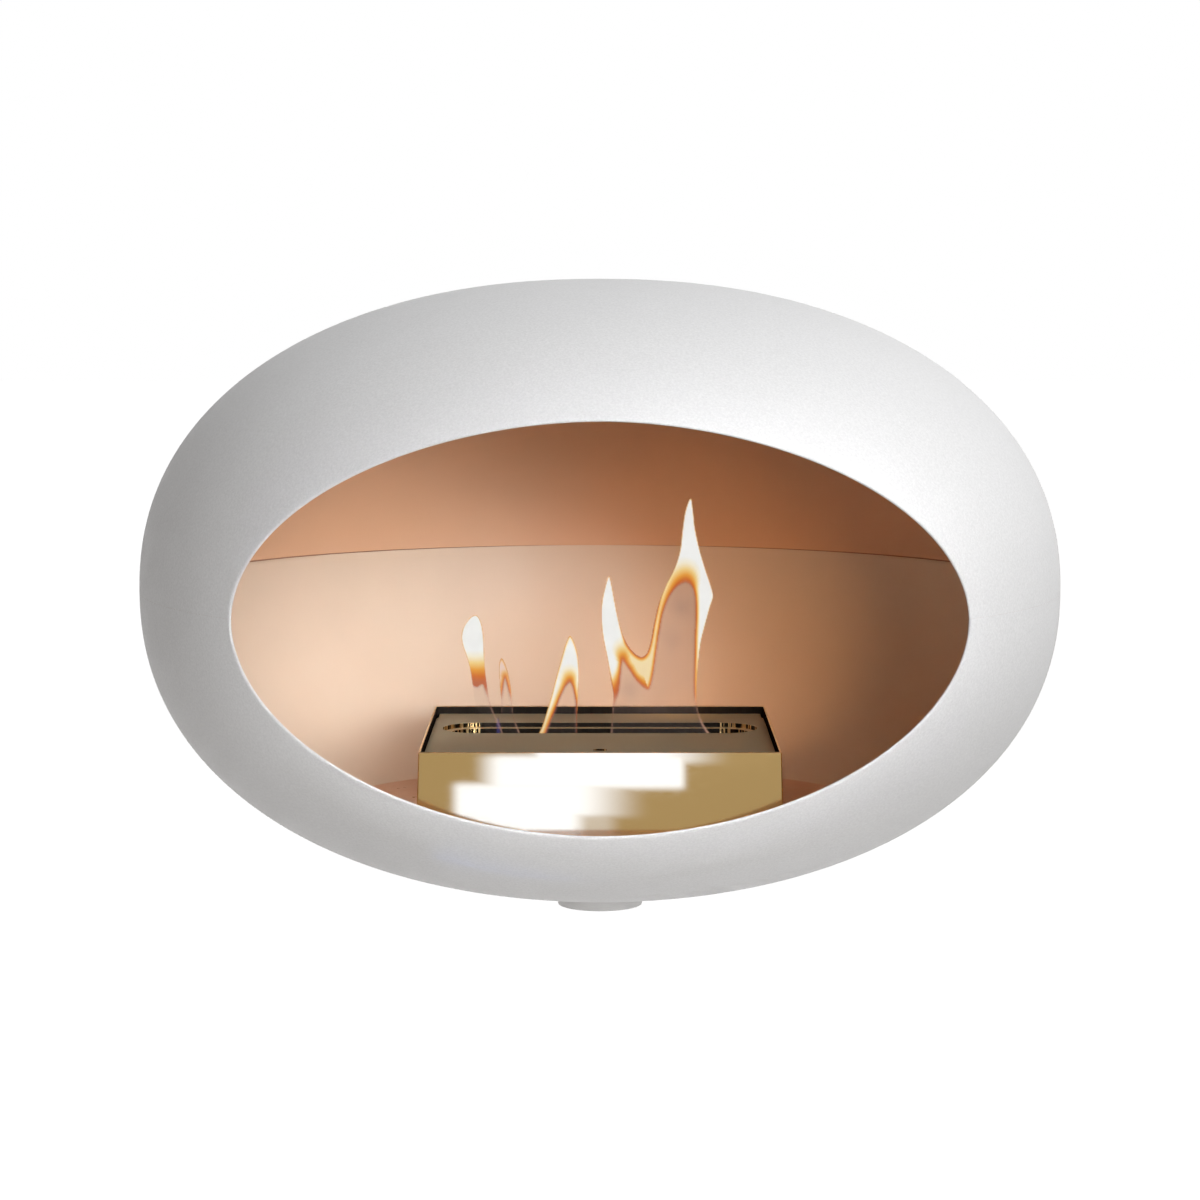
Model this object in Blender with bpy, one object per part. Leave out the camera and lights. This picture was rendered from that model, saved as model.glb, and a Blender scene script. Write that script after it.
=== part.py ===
"""Wall-mounted fireplace: a flattened steel dome on a wall arm, with a lift-out bioethanol burner.

Frame: metres, +Z up, +Y into the wall, +X to the right of someone facing the fireplace.
The origin is the centre of the wall plate's back face, so the wall is the plane y = 0.
"""
import math

import bmesh
import bpy
from mathutils import Vector

# Dome
DOME_DIAMETER = 0.750
DOME_HEIGHT = 0.501
DOME_FULLNESS = 2.19
DOME_SHEET = 0.0020
OPENING_WIDTH = 0.552
OPENING_HEIGHT = 0.306
OPENING_FULLNESS = 1.90
OPENING_DROP = 0.0023
FLOOR_DEPTH = 0.1922
FLOOR_SHEET = 0.0025

# Wall arm and the seat under the dome
WALL_CLEARANCE = 0.035
WALL_PLATE_SIZE = 0.140
WALL_PLATE_THICKNESS = 0.006
WALL_PLATE_CORNER = 0.015
WALL_HOLE_DIAMETER = 0.009
WALL_HOLE_INSET = 0.020
ARM_WIDTH = 0.050
ARM_THICKNESS = 0.010
ARM_RISE = 0.012
RIB_THICKNESS = 0.008
RIB_DEPTH = 0.058
RIB_NOSE = 0.010
SEAT_DIAMETER = 0.070
SEAT_THICKNESS = 0.0126
SEAT_CHAMFER = 0.0010
GASKET_THICKNESS = 0.0020
CLAMP_DIAMETER = 0.090
CLAMP_THICKNESS = 0.006
SEAT_SCREW_COUNT = 3
SEAT_SCREW_CIRCLE = 0.044
SEAT_SCREW_DIAMETER = 0.008
SEAT_SCREW_HEAD = 0.013
SEAT_SCREW_GRIP = 0.010
WASHER_DIAMETER = 0.017
WASHER_THICKNESS = 0.0016

# Burner casing
BURNER_WIDTH = 0.2857
BURNER_DEPTH = 0.2653
BURNER_HEIGHT = 0.0735
CASING_SHEET = 0.0015
CASING_FLARE = math.radians(1.85)
CASING_CORNER = 0.0030
CASING_FLANGE = 0.014
FOOT_HEIGHT = 0.0030
FOOT_DIAMETER = 0.011
BASE_SHEET = 0.0015
BASE_SCREW_INSET = 0.07265
BASE_SCREW_DIAMETER = 0.004
BASE_SCREW_HEAD = 0.0075
BASE_NUT_WIDTH = 0.0070
BASE_NUT_THICKNESS = 0.0032

# Top plate and lid
TOP_DROP = 0.0060
TOP_SHEET = 0.0015
TOP_FOLD_DEPTH = 0.0037
TOP_SIDE_GAP = 0.0015
TOP_REAR_GAP = 0.0045
TOP_NOTCH_WIDTH = 0.0015
TOP_NOTCH_LENGTH = 0.030
SLOT_WIDTH = 0.061
SLOT_END_LAND = 0.0082
SLOT_REAR_LAND = 0.0547
COLLAR_SHEET = 0.0015
TOOL_HOLE_DIAMETER = 0.0112
TOOL_HOLE_INSET = 0.0490
LID_SHEET = 0.0015
LID_COLLAR_DEPTH = 0.0040
LID_STEP = 0.0065
LID_EDGE_GAP = 0.0006
HOOK_HOLE_DIAMETER = 0.024

# Shutter and its rails
SHUTTER_SHEET = 0.0015
SHUTTER_OVERLAP = 0.0065
SHUTTER_PARKING = 0.0015
SHUTTER_RUNNING = 0.0004
TONGUE_WIDTH = 0.030
TONGUE_LENGTH = 0.014
DIMPLE_DIAMETER = 0.008
DIMPLE_DEPTH = 0.0008
RAIL_WIDTH = 0.0120
RAIL_GROOVE = 0.0040
RAIL_LIP = 0.0017
RAIL_SCREW_INSET = 0.0052
RAIL_SCREW_GRIP = 0.0050
RAIL_SCREW_DIAMETER = 0.003
RAIL_SCREW_HEAD = 0.0055
RAIL_SCREW_HEAD_HEIGHT = 0.0017

# Fuel tank and its filling
TANK_SHEET = 0.0012
TANK_FLANGE = 0.0090
TANK_EDGE_GAP = 0.0025
TANK_LENGTH = 0.190
TANK_REAR_GAP = 0.011
TANK_CORNER = 0.008
WOOL_HEIGHT = 0.034
WOOL_CLEARANCE = 0.0010
RETAINER_SHEET = 0.0010
RETAINER_HOLE = 0.0080
RETAINER_PITCH = 0.016

# Clearances and fineness
GAP = 0.0003
HOLE_CLEARANCE = 0.0005
CUT_MARGIN = 0.010
DOME_SEGMENTS = 64
DOME_STEPS = 12
RIM_SEGMENTS = 96
DISC_SEGMENTS = 48
SMALL_SEGMENTS = 12
ARC_STEPS = 6

# Places that follow from the sizes above
DOME_RADIUS = DOME_DIAMETER / 2
HALF_HEIGHT = DOME_HEIGHT / 2
DOME_Y = -(DOME_RADIUS + WALL_CLEARANCE)
SEAT_TOP = ARM_RISE + SEAT_THICKNESS / 2
DOME_Z = SEAT_TOP + GAP + GASKET_THICKNESS + GAP + HALF_HEIGHT
FLOOR_Z = DOME_Z - FLOOR_DEPTH

TOP_LEVEL = BURNER_HEIGHT - TOP_DROP
LID_LEVEL = TOP_LEVEL - TOP_FOLD_DEPTH - GAP
SHUTTER_LEVEL = LID_LEVEL - LID_COLLAR_DEPTH - SHUTTER_RUNNING
RAIL_BOTTOM = SHUTTER_LEVEL - SHUTTER_SHEET - SHUTTER_RUNNING - RAIL_LIP
TANK_LEVEL = RAIL_BOTTOM - GAP
CASING_BOTTOM = GAP + FOOT_HEIGHT + GAP
BASE_LEVEL = CASING_BOTTOM + CASING_SHEET + GAP
TANK_BOTTOM = BASE_LEVEL + BASE_SHEET + GAP


def casing_half(size, level):
    """Half of the casing's outer width or depth at a height above the floor plate."""
    return size / 2 + (BURNER_HEIGHT - level) * math.tan(CASING_FLARE)


def inside_half(size, level):
    """Half of the clear width or depth between the casing walls at a height."""
    return casing_half(size, level) - CASING_SHEET


TOP_HALF_WIDTH = inside_half(BURNER_WIDTH, TOP_LEVEL) - TOP_SIDE_GAP
TOP_REAR = inside_half(BURNER_DEPTH, TOP_LEVEL) - TOP_REAR_GAP
TOP_FRONT = -(inside_half(BURNER_DEPTH, TOP_LEVEL) - TOP_SIDE_GAP)
SLOT_LENGTH = 2 * (TOP_HALF_WIDTH - SLOT_END_LAND)
SLOT_Y = TOP_REAR - SLOT_REAR_LAND - SLOT_WIDTH / 2
TOOL_HOLE_Y = TOP_FRONT + TOOL_HOLE_INSET
LID_SLOT_LENGTH = SLOT_LENGTH - 2 * LID_STEP
LID_SLOT_WIDTH = SLOT_WIDTH - 2 * LID_STEP
SHUTTER_LENGTH = LID_SLOT_LENGTH + 2 * SHUTTER_OVERLAP
SHUTTER_WIDTH = LID_SLOT_WIDTH + 2 * SHUTTER_OVERLAP
SHUTTER_TRAVEL = (SHUTTER_WIDTH + LID_SLOT_WIDTH) / 2 + SHUTTER_PARKING
RAIL_X = SHUTTER_LENGTH / 2 + SHUTTER_RUNNING - RAIL_GROOVE + RAIL_WIDTH / 2
RAIL_SCREW_X = RAIL_X + RAIL_WIDTH / 2 - RAIL_SCREW_INSET
TANK_HALF_WIDTH = inside_half(BURNER_WIDTH, TANK_LEVEL) - TANK_EDGE_GAP - TANK_FLANGE
TANK_REAR = inside_half(BURNER_DEPTH, TANK_LEVEL) - TANK_REAR_GAP - TANK_FLANGE
TANK_Y = TANK_REAR - TANK_LENGTH / 2


def clear_scene():
    """Start from an empty scene."""
    for item in list(bpy.data.objects):
        bpy.data.objects.remove(item)


def finish(name, colour, roughness, metallic):
    """One Principled material."""
    material = bpy.data.materials.new(name)
    material.use_nodes = True
    shader = material.node_tree.nodes["Principled BSDF"]
    shader.inputs["Base Color"].default_value = (*colour, 1.0)
    shader.inputs["Roughness"].default_value = roughness
    shader.inputs["Metallic"].default_value = metallic
    return material


def add_solid(name, shape, material, location=(0, 0, 0), parent=None, smooth=None):
    """Turn a bmesh into a named object with its own material."""
    bmesh.ops.recalc_face_normals(shape, faces=shape.faces)
    mesh = bpy.data.meshes.new(name)
    shape.to_mesh(mesh)
    shape.free()
    if smooth is not None:
        mesh.shade_smooth()
        mesh.set_sharp_from_angle(angle=smooth)
    solid = bpy.data.objects.new(name, mesh)
    solid.location = location
    solid.parent = parent
    if material is not None:
        mesh.materials.append(material)
    bpy.context.collection.objects.link(solid)
    return solid


def add_copies(name, shape, material, places, height, parent, smooth=None):
    """The same small piece at several places, each one an object of its own that shares the mesh."""
    first = None
    for number, (x, y) in enumerate(places, 1):
        if first is None:
            first = add_solid(f"{name}_{number}", shape, material, (x, y, height), parent, smooth)
            continue
        copy = bpy.data.objects.new(f"{name}_{number}", first.data)
        copy.location = (x, y, height)
        copy.parent = parent
        bpy.context.collection.objects.link(copy)


def add_frame(name, location):
    """An empty that carries the pieces of one assembly."""
    frame = bpy.data.objects.new(name, None)
    frame.location = location
    frame.empty_display_size = 0.05
    bpy.context.collection.objects.link(frame)
    return frame


def combine(solid, shape, label, operation="DIFFERENCE"):
    """Cut a shape out of a solid, or join it on, with a Boolean modifier."""
    tool = add_solid(f"{solid.name}_{label}", shape, None, parent=solid)
    tool.hide_render = True
    tool.display_type = "WIRE"
    modifier = solid.modifiers.new(label, "BOOLEAN")
    modifier.operation = operation
    modifier.object = tool
    return modifier


def circle(radius, segments, centre=(0, 0)):
    """Points of a circle, anticlockwise from +X."""
    points = []
    for step in range(segments):
        angle = 2 * math.pi * step / segments
        points.append((centre[0] + radius * math.cos(angle), centre[1] + radius * math.sin(angle)))
    return points


def rounded_rectangle(half_x, half_y, corner, centre=(0, 0)):
    """Points of a rectangle with round corners, anticlockwise."""
    points = []
    turns = ((1, 1, 0), (-1, 1, 1), (-1, -1, 2), (1, -1, 3))
    for sign_x, sign_y, quarter in turns:
        middle_x = centre[0] + sign_x * (half_x - corner)
        middle_y = centre[1] + sign_y * (half_y - corner)
        for step in range(ARC_STEPS + 1):
            angle = math.pi / 2 * (quarter + step / ARC_STEPS)
            points.append((middle_x + corner * math.cos(angle), middle_y + corner * math.sin(angle)))
    return points


def stadium(length, width, centre=(0, 0)):
    """Points of a slot with round ends, long along X."""
    radius = width / 2
    points = []
    for side, start in ((1, -0.5), (-1, 0.5)):
        middle = centre[0] + side * (length / 2 - radius)
        for step in range(2 * ARC_STEPS + 1):
            angle = math.pi * (start + step / (2 * ARC_STEPS))
            points.append((middle + radius * math.cos(angle), centre[1] + radius * math.sin(angle)))
    return points


def at_height(points, height):
    """Lift a flat outline to a height."""
    return [(x, y, height) for x, y in points]


def loft(loops, ring=False, shape=None):
    """Skin a row of loops. A ring joins the last loop to the first; otherwise both ends are capped."""
    shape = shape or bmesh.new()
    rows = [[shape.verts.new(point) for point in loop] for loop in loops]
    pairs = list(zip(rows, rows[1:]))
    if ring:
        pairs.append((rows[-1], rows[0]))
    else:
        shape.faces.new(rows[0])
        shape.faces.new(rows[-1])
    for lower, upper in pairs:
        for index in range(len(lower)):
            following = (index + 1) % len(lower)
            shape.faces.new((lower[index], lower[following], upper[following], upper[index]))
    return shape


def prism(points, low, high, shape=None):
    """A flat outline given a thickness along Z."""
    return loft([at_height(points, low), at_height(points, high)], shape=shape)


def turned(profile, segments):
    """Revolve a closed (radius, height) profile about Z. Points on the axis become poles."""
    shape = bmesh.new()
    rings = []
    for radius, height in profile:
        count = segments if radius > 0 else 1
        ring = []
        for x, y in circle(radius, count):
            ring.append(shape.verts.new((x, y, height)))
        rings.append(ring)
    for inner, outer in zip(rings, rings[1:] + rings[:1]):
        if len(inner) == 1 and len(outer) == 1:
            continue
        for step in range(segments):
            following = (step + 1) % segments
            corners = []
            for ring, place in ((inner, step), (inner, following), (outer, following), (outer, step)):
                vertex = ring[place % len(ring)]
                if vertex not in corners:
                    corners.append(vertex)
            shape.faces.new(corners)
    return shape


def screw_places(spacing_x, spacing_y, centre=(0, 0)):
    """Four places on a rectangle."""
    places = []
    for side_x in (-1, 1):
        for side_y in (-1, 1):
            places.append((centre[0] + side_x * spacing_x / 2, centre[1] + side_y * spacing_y / 2))
    return places


def drills(places, diameter, low, high):
    """Round cutters through a plate, one for each place."""
    shape = bmesh.new()
    for place in places:
        prism(circle(diameter / 2, SMALL_SEGMENTS, place), low, high, shape)
    return shape


# The dome's surface


def dome_profile(offset=0.0):
    """(radius, height) points from the equator to the pole, moved inwards by an offset."""
    points = []
    for step in range(DOME_STEPS + 1):
        angle = math.pi / 2 * step / DOME_STEPS
        share_r = math.cos(angle) ** (2 / DOME_FULLNESS) if step < DOME_STEPS else 0.0
        share_z = math.sin(angle) ** (2 / DOME_FULLNESS)
        slope_r = share_r ** (DOME_FULLNESS - 1) / DOME_RADIUS
        slope_z = share_z ** (DOME_FULLNESS - 1) / HALF_HEIGHT
        size = math.hypot(slope_r, slope_z)
        radius = DOME_RADIUS * share_r - offset * slope_r / size
        height = HALF_HEIGHT * share_z - offset * slope_z / size
        points.append((radius, height))
    return points


def along(profile, value, known, wanted):
    """Read one coordinate of a profile where the other has a value."""
    for start, end in zip(profile, profile[1:]):
        low, high = sorted((start[known], end[known]))
        if low <= value <= high and high > low:
            share = (value - start[known]) / (end[known] - start[known])
            return start[wanted] + share * (end[wanted] - start[wanted])
    return profile[-1][wanted]


def opening_point(angle):
    """A point of the opening's edge on the dome's outer surface, and the way square to the sheet."""
    reach_x = abs(math.cos(angle)) / (OPENING_WIDTH / 2)
    reach_z = abs(math.sin(angle)) / (OPENING_HEIGHT / 2)
    reach = (reach_x ** OPENING_FULLNESS + reach_z ** OPENING_FULLNESS) ** (-1 / OPENING_FULLNESS)
    x = reach * math.cos(angle)
    z = reach * math.sin(angle) - OPENING_DROP
    radius = DOME_RADIUS * (1 - abs(z / HALF_HEIGHT) ** DOME_FULLNESS) ** (1 / DOME_FULLNESS)
    y = -math.sqrt(radius ** 2 - x ** 2)
    slope_r = (radius / DOME_RADIUS) ** (DOME_FULLNESS - 1) / DOME_RADIUS
    slope_z = abs(z / HALF_HEIGHT) ** (DOME_FULLNESS - 1) / HALF_HEIGHT
    square = Vector((slope_r * x / radius, slope_r * y / radius, math.copysign(slope_z, z)))
    return Vector((x, y, z)), square.normalized()


def opening_cutter():
    """A plug whose side wall stands square to the dome's sheet all round the opening."""
    shape = bmesh.new()
    outer = []
    inner = []
    for step in range(RIM_SEGMENTS):
        edge, square = opening_point(2 * math.pi * step / RIM_SEGMENTS)
        outer.append(shape.verts.new(edge + square * CUT_MARGIN))
        inner.append(shape.verts.new(edge - square * (DOME_SHEET + CUT_MARGIN)))
    front = shape.verts.new((0, -1.5 * DOME_RADIUS, 0))
    back = shape.verts.new((0, -0.3 * DOME_RADIUS, 0))
    for step in range(RIM_SEGMENTS):
        following = (step + 1) % RIM_SEGMENTS
        shape.faces.new((outer[step], outer[following], inner[following], inner[step]))
        shape.faces.new((outer[step], outer[following], front))
        shape.faces.new((inner[step], inner[following], back))
    return shape


def seat_places():
    """Where the screws stand round the dome's axis."""
    return circle(SEAT_SCREW_CIRCLE / 2, SEAT_SCREW_COUNT)


def dome_half(name, side, material, frame):
    """One spun half of the dome, with its share of the opening."""
    outer = [(radius, side * (height + GAP / 2)) for radius, height in dome_profile()]
    inner = [(radius, side * (height + GAP / 2)) for radius, height in dome_profile(DOME_SHEET)]
    shape = turned(outer + inner[::-1], DOME_SEGMENTS)
    half = add_solid(name, shape, material, parent=frame, smooth=math.radians(30))
    combine(half, opening_cutter(), "opening")
    return half


def make_dome(frame):
    """Both halves, the floor plate and the clamp that holds the dome on its seat."""
    white = finish("white_shell", (0.80, 0.80, 0.81), 0.55, 0.0)
    dome_half("upper_dome_shell", 1, white, frame)
    lower_white = finish("white_shell_lower", (0.80, 0.80, 0.81), 0.55, 0.0)
    lower = dome_half("lower_dome_shell", -1, lower_white, frame)
    hole = SEAT_SCREW_DIAMETER + 2 * HOLE_CLEARANCE
    drill_low = -HALF_HEIGHT - CUT_MARGIN
    drill_high = -HALF_HEIGHT + CUT_MARGIN
    combine(lower, drills(seat_places(), hole, drill_low, drill_high), "seat_holes")

    inner = [(radius, -height - GAP / 2) for radius, height in dome_profile(DOME_SHEET)]
    floor_low = -FLOOR_DEPTH - FLOOR_SHEET
    profile = [(0, floor_low)]
    profile.append((along(inner, floor_low, 1, 0) - GAP, floor_low))
    profile.append((along(inner, -FLOOR_DEPTH, 1, 0) - GAP, -FLOOR_DEPTH))
    profile.append((0, -FLOOR_DEPTH))
    copper = finish("copper_floor", (0.60, 0.30, 0.19), 0.35, 1.0)
    add_solid("floor_plate", turned(profile, DOME_SEGMENTS), copper, parent=frame)

    clamp_radius = CLAMP_DIAMETER / 2
    clamp_low = inner[-1][1] + GAP
    clamp_top = clamp_low + CLAMP_THICKNESS
    clamp_edge = along(inner, clamp_radius, 0, 1) + GAP
    profile = [(0, clamp_low), (clamp_radius, clamp_edge), (clamp_radius, clamp_top), (0, clamp_top)]
    zinc = finish("zinc_plate", (0.62, 0.63, 0.65), 0.45, 1.0)
    clamp = add_solid("clamp_plate", turned(profile, DOME_SEGMENTS), zinc, parent=frame)
    combine(clamp, drills(seat_places(), hole, drill_low, clamp_top + CUT_MARGIN), "holes")
    make_seat_screws(frame, clamp_top)


def make_seat_screws(frame, clamp_top):
    """The cap screws and washers that pull the clamp plate, the dome and the seat together."""
    bore = SEAT_SCREW_DIAMETER / 2 + HOLE_CLEARANCE
    profile = [(bore, 0), (WASHER_DIAMETER / 2, 0)]
    profile += [(WASHER_DIAMETER / 2, WASHER_THICKNESS), (bore, WASHER_THICKNESS)]
    steel = finish("washer_steel", (0.60, 0.61, 0.62), 0.35, 1.0)
    washer_low = clamp_top + GAP
    ring = turned(profile, SMALL_SEGMENTS)
    add_copies("seat_washer", ring, steel, seat_places(), washer_low, frame, math.radians(40))
    head_low = washer_low + WASHER_THICKNESS + GAP
    tip = -HALF_HEIGHT - GAP - GASKET_THICKNESS - GAP - SEAT_SCREW_GRIP
    screw = cap_screw(SEAT_SCREW_DIAMETER, SEAT_SCREW_HEAD, head_low - tip, SEAT_SCREW_DIAMETER)
    steel = finish("screw_steel", (0.30, 0.30, 0.31), 0.40, 1.0)
    add_copies("seat_screw", screw, steel, seat_places(), head_low, frame, math.radians(40))


def cap_screw(shank, head, length, head_height, way=1):
    """A round-headed screw with a socket in its head, from its seat; the head points up or down."""
    socket = head / 4
    chamfer = head / 16
    depth = head_height / 2
    profile = [(0, -length), (shank / 2, -length), (shank / 2, 0), (head / 2, 0)]
    profile += [(head / 2, head_height - chamfer), (head / 2 - chamfer, head_height)]
    profile += [(socket, head_height), (socket, head_height - depth), (0, head_height - depth)]
    return turned([(radius, way * height) for radius, height in profile], SMALL_SEGMENTS)


# The wall arm


def make_arm():
    """Wall plate, flat arm, rib and the round seat under the dome, as they are welded up."""
    plate_half = WALL_PLATE_SIZE / 2
    outline = rounded_rectangle(plate_half, plate_half, WALL_PLATE_CORNER)
    standing = [[(x, y, z) for x, z in outline] for y in (-WALL_PLATE_THICKNESS, 0)]
    steel = finish("white_arm", (0.80, 0.80, 0.81), 0.55, 0.0)
    plate = add_solid("wall_plate", loft(standing), steel)
    spacing = WALL_PLATE_SIZE - 2 * WALL_HOLE_INSET
    holes = bmesh.new()
    for x, z in screw_places(spacing, spacing):
        outline = circle(WALL_HOLE_DIAMETER / 2, SMALL_SEGMENTS, (x, z))
        ends = (-WALL_PLATE_THICKNESS - CUT_MARGIN, CUT_MARGIN)
        loft([[(px, y, pz) for px, pz in outline] for y in ends], shape=holes)
    combine(plate, holes, "holes")

    seat_radius = SEAT_DIAMETER / 2
    arm_back = -WALL_PLATE_THICKNESS - GAP
    arm_low = ARM_RISE - ARM_THICKNESS / 2
    arm_high = ARM_RISE + ARM_THICKNESS / 2
    half = ARM_WIDTH / 2
    outline = [(-half, DOME_Y), (half, DOME_Y), (half, arm_back), (-half, arm_back)]
    arm_steel = finish("white_arm_bar", (0.80, 0.80, 0.81), 0.55, 0.0)
    arm = add_solid("arm_bar", prism(outline, arm_low, arm_high), arm_steel)
    seat_cut = circle(seat_radius + GAP, DISC_SEGMENTS, (0, DOME_Y))
    combine(arm, prism(seat_cut, arm_low - CUT_MARGIN, arm_high + CUT_MARGIN), "seat")

    rib_high = arm_low - GAP
    rib_front = DOME_Y + seat_radius
    reach = arm_back - rib_front
    lower_edge = []
    for step in range(2 * ARC_STEPS + 1):
        share = step / (2 * ARC_STEPS)
        drop = RIB_NOSE + (RIB_DEPTH - RIB_NOSE) * share ** 2
        lower_edge.append((rib_front + reach * share, rib_high - drop))
    outline = [(arm_back, rib_high), (rib_front, rib_high)] + lower_edge
    sides = [[(x, y, z) for y, z in outline] for x in (-RIB_THICKNESS / 2, RIB_THICKNESS / 2)]
    add_solid("arm_rib", loft(sides), finish("white_arm_rib", (0.80, 0.80, 0.81), 0.55, 0.0))

    low = -SEAT_THICKNESS / 2
    high = SEAT_THICKNESS / 2
    narrow = seat_radius - SEAT_CHAMFER
    profile = [(0, low), (narrow, low), (seat_radius, low + SEAT_CHAMFER)]
    profile += [(seat_radius, high - SEAT_CHAMFER), (narrow, high), (0, high)]
    disc_steel = finish("white_seat", (0.80, 0.80, 0.81), 0.50, 0.0)
    location = (0, DOME_Y, ARM_RISE)
    seat = add_solid("seat_disc", turned(profile, DISC_SEGMENTS), disc_steel, location)
    bore = SEAT_SCREW_DIAMETER + 2 * GAP
    combine(seat, drills(seat_places(), bore, high - SEAT_SCREW_GRIP - 2 * GAP, high + CUT_MARGIN), "bores")

    outer = [(radius, height) for radius, height in dome_profile()]
    rise = HALF_HEIGHT - along(outer, seat_radius, 0, 1)
    profile = [(0, 0), (seat_radius, 0), (seat_radius, GASKET_THICKNESS + rise), (0, GASKET_THICKNESS)]
    rubber = finish("black_rubber", (0.03, 0.03, 0.03), 0.80, 0.0)
    location = (0, DOME_Y, SEAT_TOP + GAP)
    gasket = add_solid("seat_gasket", turned(profile, DISC_SEGMENTS), rubber, location)
    hole = SEAT_SCREW_DIAMETER + 2 * HOLE_CLEARANCE
    combine(gasket, drills(seat_places(), hole, -CUT_MARGIN, GASKET_THICKNESS + CUT_MARGIN), "holes")


# The burner, in a frame at the middle of its footprint on the floor plate


def casing_loop(level, inset):
    """A round-cornered loop of the flared casing, moved in from its outer face."""
    half_x = casing_half(BURNER_WIDTH, level) - inset
    half_y = casing_half(BURNER_DEPTH, level) - inset
    return at_height(rounded_rectangle(half_x, half_y, max(CASING_CORNER - inset, 0.0008)), level)


def make_casing(frame):
    """The flared outer casing with its turned-in foot flange, base plate, fasteners and feet."""
    inside = CASING_BOTTOM + CASING_SHEET
    loops = [casing_loop(CASING_BOTTOM, 0), casing_loop(BURNER_HEIGHT, 0)]
    loops += [casing_loop(BURNER_HEIGHT, CASING_SHEET), casing_loop(inside, CASING_SHEET)]
    loops += [casing_loop(inside, CASING_FLANGE), casing_loop(CASING_BOTTOM, CASING_FLANGE)]
    gold = finish("polished_gold", (0.86, 0.62, 0.31), 0.06, 1.0)
    casing = add_solid("burner_casing", loft(loops, ring=True), gold, parent=frame)

    half_x = inside_half(BURNER_WIDTH, BASE_LEVEL) - GAP
    half_y = inside_half(BURNER_DEPTH, BASE_LEVEL) - GAP
    outline = rounded_rectangle(half_x, half_y, CASING_CORNER)
    steel = finish("base_steel", (0.55, 0.55, 0.56), 0.40, 1.0)
    shape = prism(outline, BASE_LEVEL, BASE_LEVEL + BASE_SHEET)
    base = add_solid("burner_base_plate", shape, steel, parent=frame)

    middle = (CASING_SHEET + CASING_FLANGE) / 2
    screw_x = 2 * (casing_half(BURNER_WIDTH, CASING_BOTTOM) - middle)
    places = screw_places(screw_x, BURNER_DEPTH - 2 * BASE_SCREW_INSET)
    hole = BASE_SCREW_DIAMETER + 2 * GAP
    low = CASING_BOTTOM - CUT_MARGIN
    high = BASE_LEVEL + BASE_SHEET + CUT_MARGIN
    combine(casing, drills(places, hole, low, high), "screw_holes")
    combine(base, drills(places, hole, low, high), "screw_holes")
    make_base_fasteners(frame, places)

    foot_x = 2 * (casing_half(BURNER_WIDTH, CASING_BOTTOM) - middle)
    foot_y = 2 * (casing_half(BURNER_DEPTH, CASING_BOTTOM) - middle)
    radius = FOOT_DIAMETER / 2
    profile = [(0, 0), (0.8 * radius, 0), (radius, FOOT_HEIGHT), (0, FOOT_HEIGHT)]
    rubber = finish("foot_rubber", (0.02, 0.02, 0.02), 0.85, 0.0)
    foot = turned(profile, SMALL_SEGMENTS)
    corners = screw_places(foot_x, foot_y)
    add_copies("burner_foot", foot, rubber, corners, GAP, frame, math.radians(40))


def make_base_fasteners(frame, places):
    """Screws up through the foot flange and the nuts on top of the base plate."""
    nut_low = BASE_LEVEL + BASE_SHEET + GAP
    seat = CASING_BOTTOM - GAP
    length = nut_low + BASE_NUT_THICKNESS - seat
    screw = cap_screw(BASE_SCREW_DIAMETER, BASE_SCREW_HEAD, length, 0.6 * FOOT_HEIGHT, -1)
    steel = finish("small_screw", (0.50, 0.50, 0.51), 0.35, 1.0)
    add_copies("base_screw", screw, steel, places, seat, frame, math.radians(40))
    outer = circle(BASE_NUT_WIDTH / math.sqrt(3), 6)
    inner = circle(BASE_SCREW_DIAMETER / 2 + 2 * GAP, 6)
    loops = [at_height(inner, 0), at_height(outer, 0)]
    loops += [at_height(outer, BASE_NUT_THICKNESS), at_height(inner, BASE_NUT_THICKNESS)]
    steel = finish("small_nut", (0.60, 0.60, 0.61), 0.35, 1.0)
    add_copies("base_nut", loft(loops, ring=True), steel, places, nut_low, frame)


def slotted_sheet(name, outline, sheet, slot, folds, fold_depth, material, frame, level):
    """A flat sheet with a round-ended slot whose edge is turned down, and other folded edges."""
    length, width, slot_y = slot
    plate = add_solid(name, prism(outline, -sheet, 0), material, (0, 0, level), frame)
    outside = stadium(length + 2 * COLLAR_SHEET, width + 2 * COLLAR_SHEET, (0, slot_y))
    collar = prism(outside, -fold_depth, -sheet / 2)
    for fold in folds:
        prism(fold, -fold_depth, -sheet / 2, collar)
    combine(plate, collar, "folds", "UNION")
    inside = stadium(length, width, (0, slot_y))
    combine(plate, prism(inside, -fold_depth - CUT_MARGIN, CUT_MARGIN), "slot")
    return plate


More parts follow.
